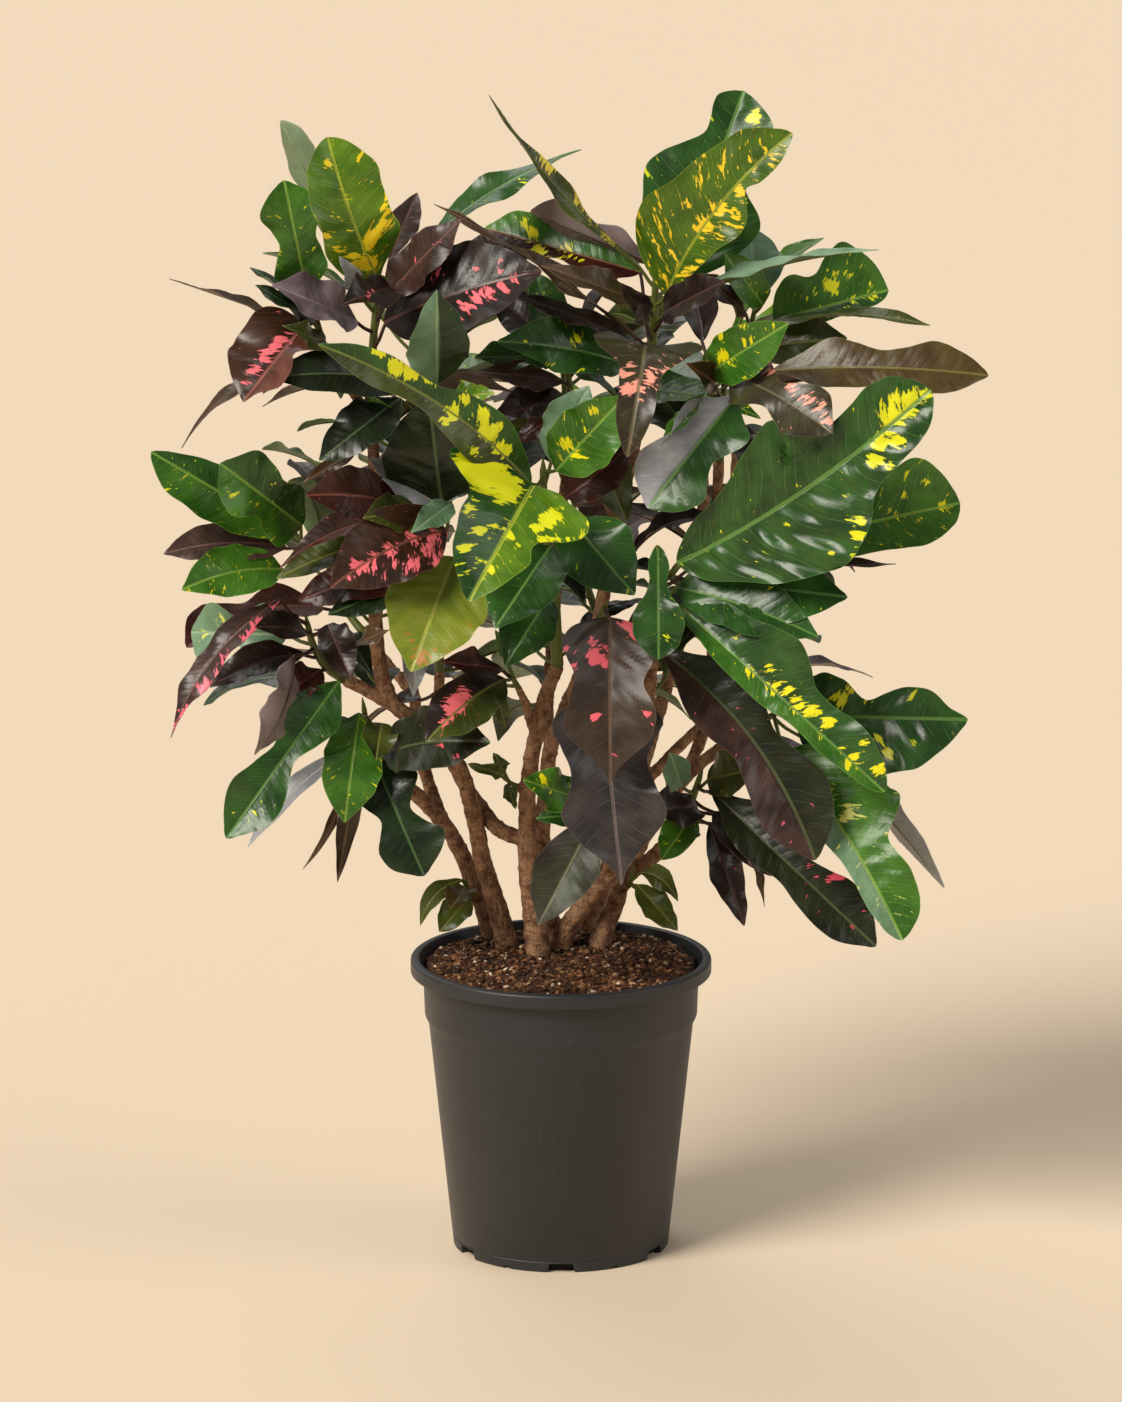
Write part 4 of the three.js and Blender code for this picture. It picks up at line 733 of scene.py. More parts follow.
# What a leaf is coloured with: blade, its darker parts, patches, veins and back, then how much
# of it the patches take, and how dull it is.
LOOKS = {
    "lime": ("5f8412", "3f6510", "f2d41e", "a6b438", "8a9657", 0.46, 0.33),
    "olive_lime": ("4c6c0e", "35520a", "efc922", "8f9a2c", "80904a", 0.56, 0.32),
    "green": ("46781e", "2b5814", "e9e012", "84aa44", "7a935a", 0.42, 0.32),
    "deep": ("2f5a1e", "1b3b12", "dfe01a", "5f8c42", "6a8358", 0.32, 0.30),
    "teal": ("203316", "131f0c", "9ab45a", "46683c", "5c7058", 0.06, 0.32),
    "night": ("1e2812", "11180a", "b5c03a", "45583a", "4c5a42", 0.12, 0.30),
    "sage": ("769676", "5a7a5a", "d3d968", "9ab48c", "6f8260", 0.24, 0.42),
    "olive": ("48521a", "2f3810", "dac534", "7c7f3c", "6e7444", 0.30, 0.34),
    "black": ("2c1d18", "180f0c", "f4727a", "563832", "5a4640", 0.24, 0.33),
    "grey_black": ("453f3e", "2a2524", "f0606f", "716562", "625a56", 0.18, 0.34),
    "purple": ("49332c", "2d1e1a", "ec6a7e", "75564c", "7c6a62", 0.26, 0.36),
    "plum": ("87777d", "5c4d52", "ec6a7e", "9c8a8e", "8c7c7c", 0.2, 0.36),
    "maroon": ("451d14", "29110b", "ee6c7a", "7b4034", "66493f", 0.26, 0.32),
    "rust": ("6e3d2c", "43231a", "ee6f80", "a2645a", "755448", 0.34, 0.34),
    "umber": ("472c1d", "291810", "f4727c", "7c4c3c", "5d4740", 0.30, 0.33),
    "cocoa": ("463629", "2f241c", "f26a78", "6b5646", "5f4f44", 0.28, 0.4),
    "sprig": ("56601e", "3a4614", "8a9038", "868a3c", "7a7e48", 0.0, 0.38),
    "faded": ("303c1c", "2c2420", "a39a58", "68684c", "5a5a48", 0.12, 0.56),
    "brown": ("4e3822", "332416", "da8a58", "7d6043", "73634f", 0.16, 0.36),
    # grey is a pale grey leaf and back, lightened further as a painted reflection of the sky on its
    # metallic sheen
    "grey": ("a5a7ab", "7e8084", "c2c4bc", "bcbec0", "a8a9aa", 0.0, 0.42),
    "gold": ("828c2c", "687a22", "aa742a", "aeb050", "9a9a50", 0.12, 0.34),
    "dusk": ("262c14", "181a0c", "f4566e", "4f5f38", "5c6248", 0.26, 0.32),
    "ripe": ("52481a", "402813", "b8863e", "7c6c36", "6c5c3e", 0.22, 0.36),
    "coral": ("3b3a1f", "2e251a", "f2a08a", "6d6345", "6b6650", 0.40, 0.33),
}

# Each shoot: its stem, the radius of its foot, and its leaves. A leaf is its look, or two looks
# for its left and right half, then form, foot of the blade, tip, and its width, turn, arch, bow
# and twist. Spots follow where patches gather: x, height, reach and how strongly.
SHOOTS = {
    "top_left": ([(-150, 690, -5), (-147, 735, -12), (-143, 788, -18)], 4.2, [
        ("lime", "spatula", (-143, 785, -24), (-182, 897, -50), (68, 15, 18, -3), (-134, 852, 7, 1.15),
         (-135, 839, 8, 1.2), (-139, 828, 9, 1.2), (-146, 820, 9, 1.15), (-150, 812, 9, 1.15),
         (-152, 797, 11, 1.25), (-162, 801, 10, 1.1), (-173, 808, 9, 1.0), (-183, 817, 8, 0.95),
         (-181, 877, 7, 0.85), (-168, 870, 5, 0.7)),
        ("sage", "fiddle", (-160, 790, -5), (-218, 910, 25), (40, 140, 8)),
        ("plum", "oval", (-160, 752, -30), (-226, 780, -75), (45, 40, 8)),
        ("black", "lance", (-133, 778, -38), (-172, 764, -100), (38, 30, 8), (-150, 774, 8, 0.8),
         (-160, 770, 5, 0.6)),
        ("grey", "sliver", (-158, 776, -32), (-173, 803, -62), (15, 20, 3), (-168, 790, 6, 0.6)),
        ("purple", "oval", (-136, 772, -28), (-78, 832, -62), (36, 25, 8), (-95, 812, 8, 0.6),
         (-112, 800, 7, 0.6)),
        ("deep", "lance", (-132, 785, -10), (16, 887, 20), (34, 55, 8, 12), (-30, 862, 8, 0.8),
         (-60, 838, 8, 0.6)),
        ("purple", "lance", (-134, 800, -8), (-112, 853, 32), (26, 10, 5)),
        ("black", "oval", (-138, 750, -34), (-15, 791, -78), (80, 24, 10, 4), (-84, 754, 9.5, 1.04),
         (-75, 762, 9.5, 1.04), (-66, 769, 9.5, 1.08), (-56, 773, 9.5, 1.04), (-45, 776, 9.5, 0.99),
         (-37, 785, 7.4, 0.91), (-72, 774, 6.3, 0.82), (-96, 790, 6.3, 0.95), (-99, 783, 5.2, 0.86),
         (-67, 794, 6.3, 0.95), (-46, 800, 6.3, 0.95), (-49, 792, 5.2, 0.86)),
    ]),
    "top_outer": ([(-170, 704, -20), (-183, 725, -28), (-192, 756, -32)], 3.6, [
        ("green", "fiddle", (-198, 772, -32), (-216, 863, -48), (50, 5, 8), (-190, 826, 6, 0.5)),
        ("brown", "lance", (-197, 748, -36), (-306, 785, -66), (24, 78, 6)),
        ("teal", "lance", (-195, 760, -30), (-243, 794, 0), (26, 60, 5)),
        ("teal", "lance", (-193, 752, -42), (-239, 780, -85), (24, 45, 5)),
        ("rust/umber", "notched_left", (-200, 750, -48), (-249, 687, -108), (72, 22, 8, 0, 40),
         (-205, 747, 7.7, 0.82), (-215, 740, 8.8, 0.95), (-223, 731, 8.8, 1.03),
         (-232, 723, 8.8, 1.03), (-240, 712, 8.8, 0.99), (-245, 704, 7.7, 0.86)),
        ("brown", "lance", (-190, 726, -36), (-298, 650, -30), (20, 72, 6, 14)),
        ("olive", "lance", (-184, 732, -44), (-218, 748, -110), (24, 40, 6)),
    ]),
    "upper_left": ([(-118, 655, -28), (-106, 672, -38), (-97, 690, -48)], 3.6, [
        ("sage/teal", "oval", (-97, 702, -66), (-97, 776, -104), (48, 10, 10), (-92, 752, 5, 0.5)),
        ("night", "oval", (-124, 700, -44), (-227, 706, -92), (45, 30, 10, 6)),
        ("night", "oval", (-126, 690, -50), (-190, 640, -90), (40, 20, 8)),
        ("brown", "lance", (-130, 668, -40), (-203, 622, -66), (16, 30, 4)),
        ("green", "lance", (-128, 655, -42), (-152, 694, -60), (22, 10, 4)),
        ("lime", "sliver", (-88, 690, -58), (-52, 694, -88), (22, 30, 4), (-60, 690, 9, 0.7)),
    ]),
    "top_right": ([(68, 700, 8), (72, 735, 2), (74, 785, -6)], 4.6, [
        ("olive", "lance", (64, 792, -6), (-56, 930, -30), (18, 50, 0, -8), (-6, 881, 14.4, 1.4),
         (22, 852, 16, 1.4), (-37, 917, 11.2, 1.2), (30, 837, 12.8, 1.35), (40, 820, 11.2, 1.2),
         (-20, 897, 11.2, 1.2)),
        ("plum", "fiddle", (72, 796, 10), (-24, 838, 40), (46, 125, 8)),
        ("brown", "lance", (64, 766, -14), (-15, 795, -62), (32, 45, 8)),
        ("olive_lime", "notched_right", (82, 772, -16), (180, 900, -48), (80, 18, 8, 10),
         (140, 854, 8, 1.05), (124, 841, 10, 1.1), (111, 828, 11, 1.1), (136, 837, 10, 1.0),
         (100, 843, 7, 0.85), (88, 836, 7, 0.8), (124, 818, 9, 0.95), (88, 806, 8, 0.8),
         (109, 864, 6, 0.75), (82, 848, 6, 0.75), (80, 795, 7, 0.8), (74, 842, 5, 0.7),
         (150, 872, 7, 0.9)),
        ("deep", "crowned", (88, 782, 18), (142, 933, 58), (98, 5, 6), (150, 912, 9, 1.2),
         (130, 925, 5, 0.7), (128, 902, 6, 0.75), (105, 875, 7, 0.85), (67, 868, 8, 0.9),
         (119, 912, 5, 0.65), (142, 900, 5, 0.6)),
        ("sage", "lance", (84, 764, -22), (248, 808, -66), (26, 72, 6, 8)),
        ("black", "oval", (80, 758, -20), (128, 783, -84), (36, 35, 8)),
        ("black", "lance", (68, 750, -12), (46, 782, -52), (22, 30, 4)),
        ("brown", "lance", (58, 740, -4), (-99, 844, -28), (17, 62, 4, 5)),
        ("black", "lance", (62, 730, -10), (-40, 772, -52), (24, 45, 6, 4)),
        ("maroon/green", "deep", (62, 790, 14), (-60, 825, 62), (46, 20, 8), (-23, 820, 9, 1.1),
         (-19, 807, 10, 1.15), (4, 807, 8, 1.0), (0, 800, 7, 0.9), (-29, 830, 8, 1.0),
         (14, 800, 6, 0.7)),
        ("deep", "oval", (54, 716, -14), (-50, 735, -62), (46, 25, 8, 4), (12, 737, 8, 1.0),
         (-27, 733, 6, 0.8), (-8, 716, 7, 0.85), (-34, 722, 5, 0.6), (24, 728, 6, 0.6)),
        ("coral", "shouldered", (66, 732, -32), (52, 643, -132), (88, 0, 34), (30, 712, 8.2, 0.91),
         (39, 719, 9.7, 0.95), (41, 705, 9.7, 0.91), (51, 710, 11.0, 0.99), (51, 697, 9.7, 0.91),
         (62, 701, 11.0, 0.99), (72, 706, 11.0, 0.99), (82, 710, 9.7, 0.95), (89, 712, 8.2, 0.91),
         (76, 698, 8.2, 0.82), (95, 721, 6.8, 0.73), (62, 688, 6.8, 0.65)),
    ]),
    "right_high": ([(137, 690, 36), (143, 722, 32), (151, 758, 24)], 3.6, [
        ("sage", "oval", (152, 768, 34), (148, 826, 78), (46, 10, 6)),
        ("green", "oval", (158, 764, 12), (128, 805, -8), (32, 20, 6)),
        ("brown", "lance", (146, 756, 8), (108, 790, -22), (24, 40, 5)),
        ("green/deep", "crested", (166, 752, 22), (256, 776, 22), (62, 5, 6), (211, 780, 8.3, 1.2),
         (214, 790, 7.2, 1.05), (226, 788, 6.2, 0.9), (228, 768, 7.2, 0.95), (245, 771, 6.2, 0.9),
         (201, 774, 6.2, 0.9), (189, 769, 6.2, 0.85), (240, 780, 5.2, 0.75), (205, 762, 5.2, 0.75)),
        ("olive", "lance", (158, 748, 8), (289, 748, -34), (30, 66, 6, 8)),
        ("olive", "oval", (150, 730, 16), (224, 738, 0), (42, 25, 6), (170, 744, 8, 0.5)),
    ]),
    "right_upper": ([(124, 640, 20), (127, 675, -4), (128, 708, -26)], 4, [
        ("green", "oval", (112, 708, -48), (178, 750, -100), (42, 0, 6), (124, 740, 7, 0.9),
         (143, 748, 7, 0.9), (128, 723, 9, 1.1), (112, 714, 8, 1.0), (160, 744, 6, 0.8),
         (146, 736, 7, 0.9), (136, 730, 6, 0.8)),
        ("ripe", "fiddle", (166, 712, -36), (335, 708, -66), (50, 25, 8, 4)),
        ("coral", "deep", (132, 708, -56), (213, 662, -134), (52, 10, 10, 4), (166, 723, 10.8, 1.05),
         (176, 725, 8.4, 0.97), (137, 704, 8.4, 0.92), (143, 710, 9.7, 0.97), (124, 697, 8.4, 0.84),
         (179, 706, 9.7, 1.01), (182, 698, 9.7, 1.01), (164, 712, 8.4, 0.88), (195, 689, 9.7, 1.01),
         (203, 684, 8.4, 1.01), (208, 674, 8.4, 1.01)),
        ("green", "sliver", (114, 694, -36), (78, 652, -80), (18, 50, 4)),
        ("maroon", "lance", (122, 700, -44), (98, 718, -96), (24, 30, 5)),
        ("deep/grey", "fiddle", (136, 690, -42), (68, 602, -92), (70, 12, 10)),
        ("black", "lance", (134, 668, -18), (166, 630, -50), (32, 20, 6)),
    ]),
    "upper_middle": ([(18, 655, 15), (8, 690, 8), (4, 728, 2)], 3.8, [
        ("deep", "oval", (0, 728, 4), (-20, 790, 14), (34, 15, 6), (-12, 770, 8, 0.7)),
        ("deep", "oval", (-4, 724, -4), (-68, 722, -48), (32, 35, 6), (-30, 722, 8, 0.6)),
        ("black", "oval", (-2, 730, 12), (-52, 772, 46), (34, 20, 6)),
        ("purple", "lance", (2, 704, -10), (-68, 711, -70), (26, 35, 6)),
        ("black", "oval", (2, 692, -10), (-55, 672, -66), (34, 30, 8)),
        ("maroon", "lance", (6, 682, 4), (-36, 655, -4), (26, 20, 6)),
        ("black", "lance", (12, 716, 4), (38, 742, 6), (24, 40, 5)),
        ("olive", "oval", (20, 668, -4), (52, 590, -34), (40, 30, 6)),
    ]),
    "centre": ([(-3, 475, -14), (-6, 540, -30), (-13, 600, -48), (-14, 632, -54)], 5, [
        ("olive/deep", "violin", (-24, 622, -84), (-190, 733, -138), (48, 5, 12, 12),
         (-142, 728, 8, 1.15), (-130, 715, 9.2, 1.3), (-117, 713, 10.3, 1.45), (-102, 710, 10.3, 1.4),
         (-84, 680, 9.2, 1.25), (-61, 676, 9.2, 1.3), (-57, 663, 10.3, 1.4), (-46, 649, 9.2, 1.3),
         (-50, 667, 6.9, 1.15), (-75, 689, 6.9, 1.05), (-68, 648, 6.9, 1), (-92, 672, 6.9, 0.95)),
        ("lime/deep", "lobed", (-22, 620, -96), (-73, 527, -196), (130, 0, 14), (-58, 632, 20.9, 1.5),
         (-42, 617, 14.3, 1.4), (-76, 634, 14.3, 1.45), (-38, 616, 8.8, 1.25), (-80, 612, 7.7, 0.95),
         (-70, 603, 9.9, 1.15), (-64, 584, 7.7, 1), (-52, 588, 7.7, 0.95), (-8, 574, 11, 1.2),
         (4, 576, 6.6, 1), (-19, 588, 7.7, 1.05), (-54, 552, 9.9, 1.1), (-77, 570, 8.8, 1.1),
         (-36, 570, 6.6, 0.75), (-66, 560, 7.7, 0.85), (-13, 590, 9.9, 1.25), (-4, 597, 9.9, 1.25),
         (-42, 582, 9.9, 1.05)),
        ("green", "oval", (-4, 632, -70), (50, 692, -98), (52, 0, 8), (4, 655, 9, 1.1),
         (12, 646, 7, 1.0), (28, 698, 7, 0.95), (25, 680, 7, 0.9), (-13, 663, 6, 0.7),
         (20, 664, 6, 0.7), (40, 690, 5, 0.6)),
        ("sage", "oval", (-8, 640, -54), (22, 700, -62), (42, 15, 6)),
        ("deep", "oval", (4, 596, -52), (58, 532, -96), (58, 20, 8), (-8, 556, 9, 0.75),
         (4, 548, 7, 0.7)),
        ("maroon", "oval", (4, 610, -44), (54, 650, -34), (44, 20, 6)),
        ("deep", "oval", (-8, 572, -62), (-52, 505, -122), (60, 20, 8)),
        ("deep", "oval", (-10, 530, -48), (-44, 474, -84), (42, 20, 6)),
    ]),
    "left_inner": ([(-96, 471, 25), (-97, 530, 0), (-94, 602, -28)], 4, [
        ("night", "oval", (-94, 606, -42), (-104, 692, -62), (82, 0, 8)),
        ("grey", "lance", (-100, 606, -44), (-150, 642, -50), (32, 25, 5)),
        ("umber", "oval", (-90, 584, -62), (-182, 538, -130), (62, 10, 12, 6), (-150, 558, 11.6, 0.98),
         (-160, 556, 10.5, 0.94), (-134, 568, 11.6, 1.02), (-118, 578, 10.5, 0.98),
         (-100, 581, 10.5, 1.02), (-86, 579, 10.5, 1.02), (-118, 556, 10.5, 0.94),
         (-96, 560, 11.6, 1.02), (-141, 547, 9.2, 0.89), (-106, 569, 12.8, 1.02),
         (-165, 549, 8.1, 0.85), (-84, 558, 9.2, 0.98), (-129, 558, 9.2, 0.94)),
        ("olive", "oval", (-104, 600, -44), (-156, 594, -104), (36, 30, 8), (-96, 607, 10, 0.8)),
        ("sage", "lance", (-86, 606, -48), (-118, 582, -112), (24, 20, 6)),
        ("maroon/purple", "lance", (-112, 594, -40), (-222, 553, -84), (30, 55, 6, 12),
         (-190, 566, 12, 0.7), (-205, 556, 7, 0.8)),
        ("olive", "oval", (-108, 582, -28), (-224, 545, -62), (38, 30, 6, 6)),
        ("maroon", "oval", (-106, 566, -20), (-208, 527, -32), (44, 25, 6)),
        ("teal", "oval", (-104, 548, -14), (-184, 516, -54), (32, 25, 6)),
        ("maroon", "oval", (-128, 604, -52), (-200, 612, -98), (46, 20, 8, 4)),
        ("grey", "lance", (-112, 520, -8), (-117, 450, -24), (24, 0, 5)),
        ("gold", "oval", (-84, 562, -52), (-119, 470, -132), (78, 0, 12), (-92, 488, 12, 0.85),
         (-112, 482, 12, 0.95), (-120, 500, 8, 0.8), (-76, 506, 7, 0.7)),
    ]),
    "left_mid": ([(-185, 562, -18), (-196, 569, -22), (-206, 577, -26)], 3.6, [
        ("green/deep", "leaning", (-214, 582, -24), (-322, 647, -56), (50, 15, 8)),
        ("green/deep", "fiddle", (-204, 588, -38), (-268, 638, -92), (62, 10, 8), (-258, 612, 9, 0.75),
         (-240, 606, 8, 0.7), (-272, 625, 6, 0.6)),
        ("purple", "oval", (-216, 570, -26), (-313, 565, -44), (36, 25, 6, 6)),
        ("green", "oval", (-219, 552, -32), (-299, 536, -84), (44, 20, 6, 6)),
    ]),
    "left_low": ([(-170, 463, -10), (-186, 474, -14), (-196, 492, -18), (-200, 508, -22)], 4.2, [
        ("purple", "lance", (-222, 528, -52), (-309, 416, -88), (28, 35, 10, 12, 40),
         (-238, 507, 10.8, 1.07), (-248, 496, 9.6, 0.99), (-262, 478, 10.8, 1.12),
         (-280, 456, 10.8, 1.16), (-296, 434, 10.8, 1.16), (-226, 522, 9.6, 0.99),
         (-303, 424, 8.4, 1.03), (-270, 466, 8.4, 0.9)),
        ("sage", "deep", (-216, 500, -8), (-292, 502, 14), (54, 5, 6), (-268, 513, 7, 0.9),
         (-280, 499, 7, 0.9)),
        ("black", "oval", (-202, 484, -26), (-278, 457, -56), (30, 30, 6, 6)),
        ("plum", "oval", (-212, 482, -44), (-243, 402, -88), (36, 125, 8, -8)),
        ("maroon", "oval", (-190, 472, -20), (-224, 446, -50), (30, 20, 5)),
        ("black", "oval", (-204, 506, -34), (-242, 506, -76), (28, 30, 6)),
        ("deep", "deep", (-176, 462, -34), (-266, 334, -92), (50, 0, 8), (-237, 365, 6, 0.95),
         (-243, 355, 5, 0.9), (-222, 385, 5, 0.6)),
        ("black", "oval", (-184, 508, -34), (-166, 464, -78), (30, 10, 6)),
        ("brown", "lance", (-172, 488, -30), (-135, 504, -72), (18, 50, 4)),
    ]),
    "low_left": ([(-140, 397, 20), (-148, 410, 8), (-154, 428, -2), (-156, 440, -6)], 3.8, [
        ("green", "oval", (-160, 436, -24), (-172, 347, -62), (48, 15, 8), (-195, 388, 6, 0.85),
         (-182, 370, 5, 0.6), (-170, 380, 4, 0.5)),
        ("olive", "oval", (-142, 428, -16), (-147, 398, -58), (28, 10, 5)),
        ("brown", "lance", (-160, 400, 4), (-178, 298, -10), (18, 10, 5)),
        ("brown", "sliver", (-168, 400, 8), (-206, 308, 6), (7, 20, 4, -8)),
        ("teal", "deep", (-148, 398, -18), (-109, 303, -58), (58, 10, 8), (-140, 325, 6, 0.4)),
        ("dusk", "oval", (-140, 402, -28), (-56, 412, -88), (58, 25, 10, 6), (-96, 410, 5, 0.9),
         (-84, 400, 5, 0.9), (-106, 418, 4, 0.8), (-90, 424, 4, 0.9)),
        ("grey", "lance", (-170, 406, -2), (-249, 327, -20), (20, 30, 5, 6)),
        ("grey", "lance", (-160, 418, -10), (-189, 437, -44), (14, 20, 3)),
    ]),
    "twig": ([(-34, 457, -22), (-38, 465, -28), (-41, 474, -32)], 2.6, [
        ("olive/black", "oval", (-44, 464, -44), (-107, 413, -104), (46, 20, 8, 4),
         (-85, 442, 10.3, 1.4), (-78, 450, 9.2, 1.3), (-92, 430, 6.9, 1)),
        ("maroon", "lance", (-46, 472, -30), (-96, 478, -56), (26, 35, 5)),
        ("green", "sliver", (-42, 480, -36), (-52, 504, -50), (10, 10, 2), (-70, 450, 6, 0.5)),
        ("olive", "lance", (-54, 462, -16), (-44, 424, -14), (14, 20, 4)),
    ]),
    "sprout": ([(-36, 377, -4), (-41, 380, -8), (-45, 384, -12)], 2.2, [
        ("sprig", "sliver", (-46, 385, -14), (-74, 395, -30), (12, 25, 3)),
        ("olive", "sliver", (-44, 388, -12), (-54, 404, -18), (11, 20, 3)),
        ("sprig", "sliver", (-43, 378, -12), (-36, 358, -22), (11, 20, 3)),
    ]),
    "low_middle": ([(38, 318, -6), (36, 338, -24), (30, 356, -36)], 3, [
        ("faded", "oval", (26, 350, -52), (-18, 263, -92), (48, 15, 8)),
        ("green", "oval", (16, 366, -42), (-30, 382, -76), (34, 20, 6), (-15, 382, 7, 1.1)),
        ("deep", "lance", (18, 354, -38), (-20, 350, -50), (26, 30, 5)),
    ]),
    "hanging": ([(17, 474, -8), (24, 500, -36), (34, 522, -62)], 4, [
        ("cocoa", "drop", (38, 514, -86), (39, 378, -132), (80, 5, 10), (27, 482, 8.8, 1.4),
         (24, 494, 7.7, 1.15), (34, 476, 6.6, 1.15), (58, 500, 7.7, 1.2), (52, 508, 7.7, 1.15),
         (66, 505, 5.5, 1.1), (27, 434, 5.5, 1.15), (68, 435, 4.4, 1.1), (10, 474, 5.5, 1.1),
         (4, 489, 5.5, 1.05), (36, 489, 6.6, 1)),
        ("grey_black", "drop", (32, 452, -64), (48, 296, -112), (88, 8, 10), (77, 402, 5, 0.8),
         (13, 414, 4, 0.7), (52, 395, 5, 0.75), (81, 437, 5, 0.75), (29, 336, 4, 0.7),
         (47, 353, 4, 0.6)),
    ]),
    "right_front": ([(72, 480, -16), (78, 515, -34), (82, 548, -50)], 4.8, [
        ("deep", "wing", (92, 558, -74), (290, 697, -128), (118, 0, 14, -9), (262, 676, 19.5, 1.2),
         (272, 688, 14.9, 1.25), (285, 692, 10.3, 1.1), (250, 655, 11.5, 1.05), (266, 655, 9.2, 1.05),
         (246, 640, 10.3, 1.1), (257, 632, 8, 1), (234, 580, 9.2, 1.25), (236, 592, 6.9, 1.1),
         (211, 567, 6.9, 1.1), (179, 590, 5.8, 1), (160, 562, 5.8, 0.9), (226, 612, 5.8, 0.8),
         (200, 600, 5.8, 0.75), (230, 566, 6.9, 0.9), (190, 620, 5.8, 0.7)),
        ("green", "spoon", (96, 558, -50), (314, 606, -52), (74, 14, 8), (299, 605, 8, 1.0),
         (263, 597, 8, 0.95), (288, 622, 8, 0.95), (306, 602, 6, 0.9), (270, 612, 7, 0.85),
         (280, 590, 6, 0.75), (236, 592, 6, 0.6)),
        ("purple", "lance", (98, 552, -56), (264, 557, -76), (26, 70, 6)),
        ("deep", "oval", (90, 538, -64), (203, 498, -112), (50, 20, 8, 4)),
        ("deep", "oval", (98, 546, -58), (226, 530, -96), (62, 20, 8), (190, 540, 6, 0.6)),
        ("deep", "paddle", (76, 572, -70), (77, 480, -118), (40, 5, 8), (70, 545, 7, 0.6),
         (84, 500, 8, 0.8)),
        ("deep/green", "sweep", (93, 524, -78), (257, 372, -156), (60, 0, 12), (180, 455, 11.2, 1.02),
         (168, 458, 11.2, 1.02), (198, 438, 11.2, 1.06), (188, 443, 10.3, 1.02),
         (212, 428, 10.3, 0.98), (230, 397, 10.3, 0.94), (252, 388, 10.3, 0.98), (150, 470, 9.1, 0.82),
         (164, 473, 8.2, 0.82), (205, 418, 8.2, 0.82), (240, 410, 8.2, 0.86), (222, 408, 7.2, 0.78),
         (140, 500, 7.2, 0.66), (128, 515, 7.2, 0.66)),
        ("dusk/purple", "fiddle", (80, 486, -48), (202, 316, -104), (70, 10, 10, 16),
         (178, 346, 5, 1.05), (200, 360, 4, 0.6), (150, 400, 4, 0.6)),
    ]),
    "right_mid": ([(145, 420, 25), (158, 429, 14), (170, 436, 4)], 4, [
        ("deep", "notched_left", (186, 434, -10), (322, 431, -34), (90, 10, 8), (221, 449, 9.7, 1.1),
         (212, 437, 9.7, 1.1), (230, 456, 7.2, 0.98), (249, 414, 8.4, 1.06), (258, 402, 8.4, 1.02),
         (276, 452, 7.2, 0.94), (241, 447, 7.2, 0.89), (281, 414, 6.1, 0.85), (226, 408, 9.7, 0.98),
         (299, 395, 6.1, 0.72)),
        ("green/sage", "sweep", (178, 404, -44), (272, 250, -118), (70, 0, 10, 6), (228, 355, 9, 1.1),
         (216, 372, 7, 0.8), (238, 350, 6, 0.95), (250, 330, 5, 0.8)),
        ("grey", "lance", (190, 418, 6), (305, 293, -26), (38, 128, 6, 6)),
    ]),
    "low_right": ([(96, 350, 15), (104, 366, 6), (110, 384, 0)], 4.2, [
        ("dusk", "fiddle", (120, 372, -22), (251, 245, -84), (52, 10, 10), (222, 305, 8, 1.15),
         (212, 322, 6, 1.1), (197, 311, 5, 0.95), (233, 262, 5, 0.9), (203, 303, 4, 0.8),
         (214, 300, 6, 0.9)),
        ("black", "oval", (118, 346, -10), (146, 262, -44), (26, 15, 6)),
        ("purple", "oval", (124, 354, 4), (168, 303, -26), (26, 20, 6)),
        ("black", "lance", (122, 356, -16), (152, 310, -60), (26, 20, 5)),
        ("brown", "sliver", (122, 346, 8), (162, 277, -2), (7, 30, 3, 10)),
        ("green", "oval", (104, 352, -20), (80, 316, -62), (30, 15, 5)),
        ("sage", "oval", (96, 376, -12), (86, 404, -50), (26, 20, 4)),
        ("olive", "oval", (116, 382, -2), (160, 392, -34), (38, 20, 6)),
        ("black", "oval", (108, 360, -14), (66, 356, -60), (34, 30, 6)),
    ]),
    "foot_left": ([(-72, 286, 56), (-74, 291, 50), (-75, 297, 45)], 2.4, [
        ("sprig", "lance", (-78, 300, 42), (-112, 262, 26), (17, 25, 5, 8)),
        ("ripe", "oval", (-76, 294, 36), (-88, 276, -6), (24, 20, 4)),
        ("sprig", "oval", (-74, 285, 46), (-97, 257, 22), (26, 15, 4)),
    ]),
    "foot_right": ([(54, 296, 22), (56, 300, 18), (57, 306, 14)], 2.4, [
        ("sprig", "lance", (62, 306, 12), (93, 282, -4), (18, 25, 4, 6)),
        ("sprig", "oval", (60, 296, 14), (93, 258, -10), (24, 20, 5)),
        ("sprig", "oval", (64, 291, 20), (88, 260, 22), (18, 15, 4)),
    ]),
}

# Shoots of the far side, whose leaves go round them by a rule: the stem, the radius of its foot,
# how many leaves, where the first one points in degrees, and how long they get.
WILD_SHOOTS = {
    "back_left": ([(-120, 650, 118), (-113, 690, 112), (-107, 726, 106)], 3.9, 9, 40, 150),
    "back_left_low": ([(-155, 500, 130), (-172, 524, 142), (-184, 556, 150)], 3.7, 8, 110, 132),
    "back_middle": ([(5, 640, 132), (4, 685, 131), (0, 730, 126)], 3.9, 9, 230, 150),
    "back_low": ([(35, 500, 170), (22, 535, 184), (12, 575, 192)], 3.9, 9, 95, 150),
    "back_right": ([(112, 640, 130), (118, 682, 126), (120, 716, 120)], 4.2, 9, 0, 150),
    "back_right_low": ([(115, 430, 135), (132, 452, 142), (144, 482, 146)], 3.9, 8, 60, 118),
}
WILD_LOOKS = ["green", "black", "deep", "lime", "olive", "purple", "green", "maroon", "teal"]
DRAW_STEP = 16807
DRAW_SPAN = 2**31 - 1


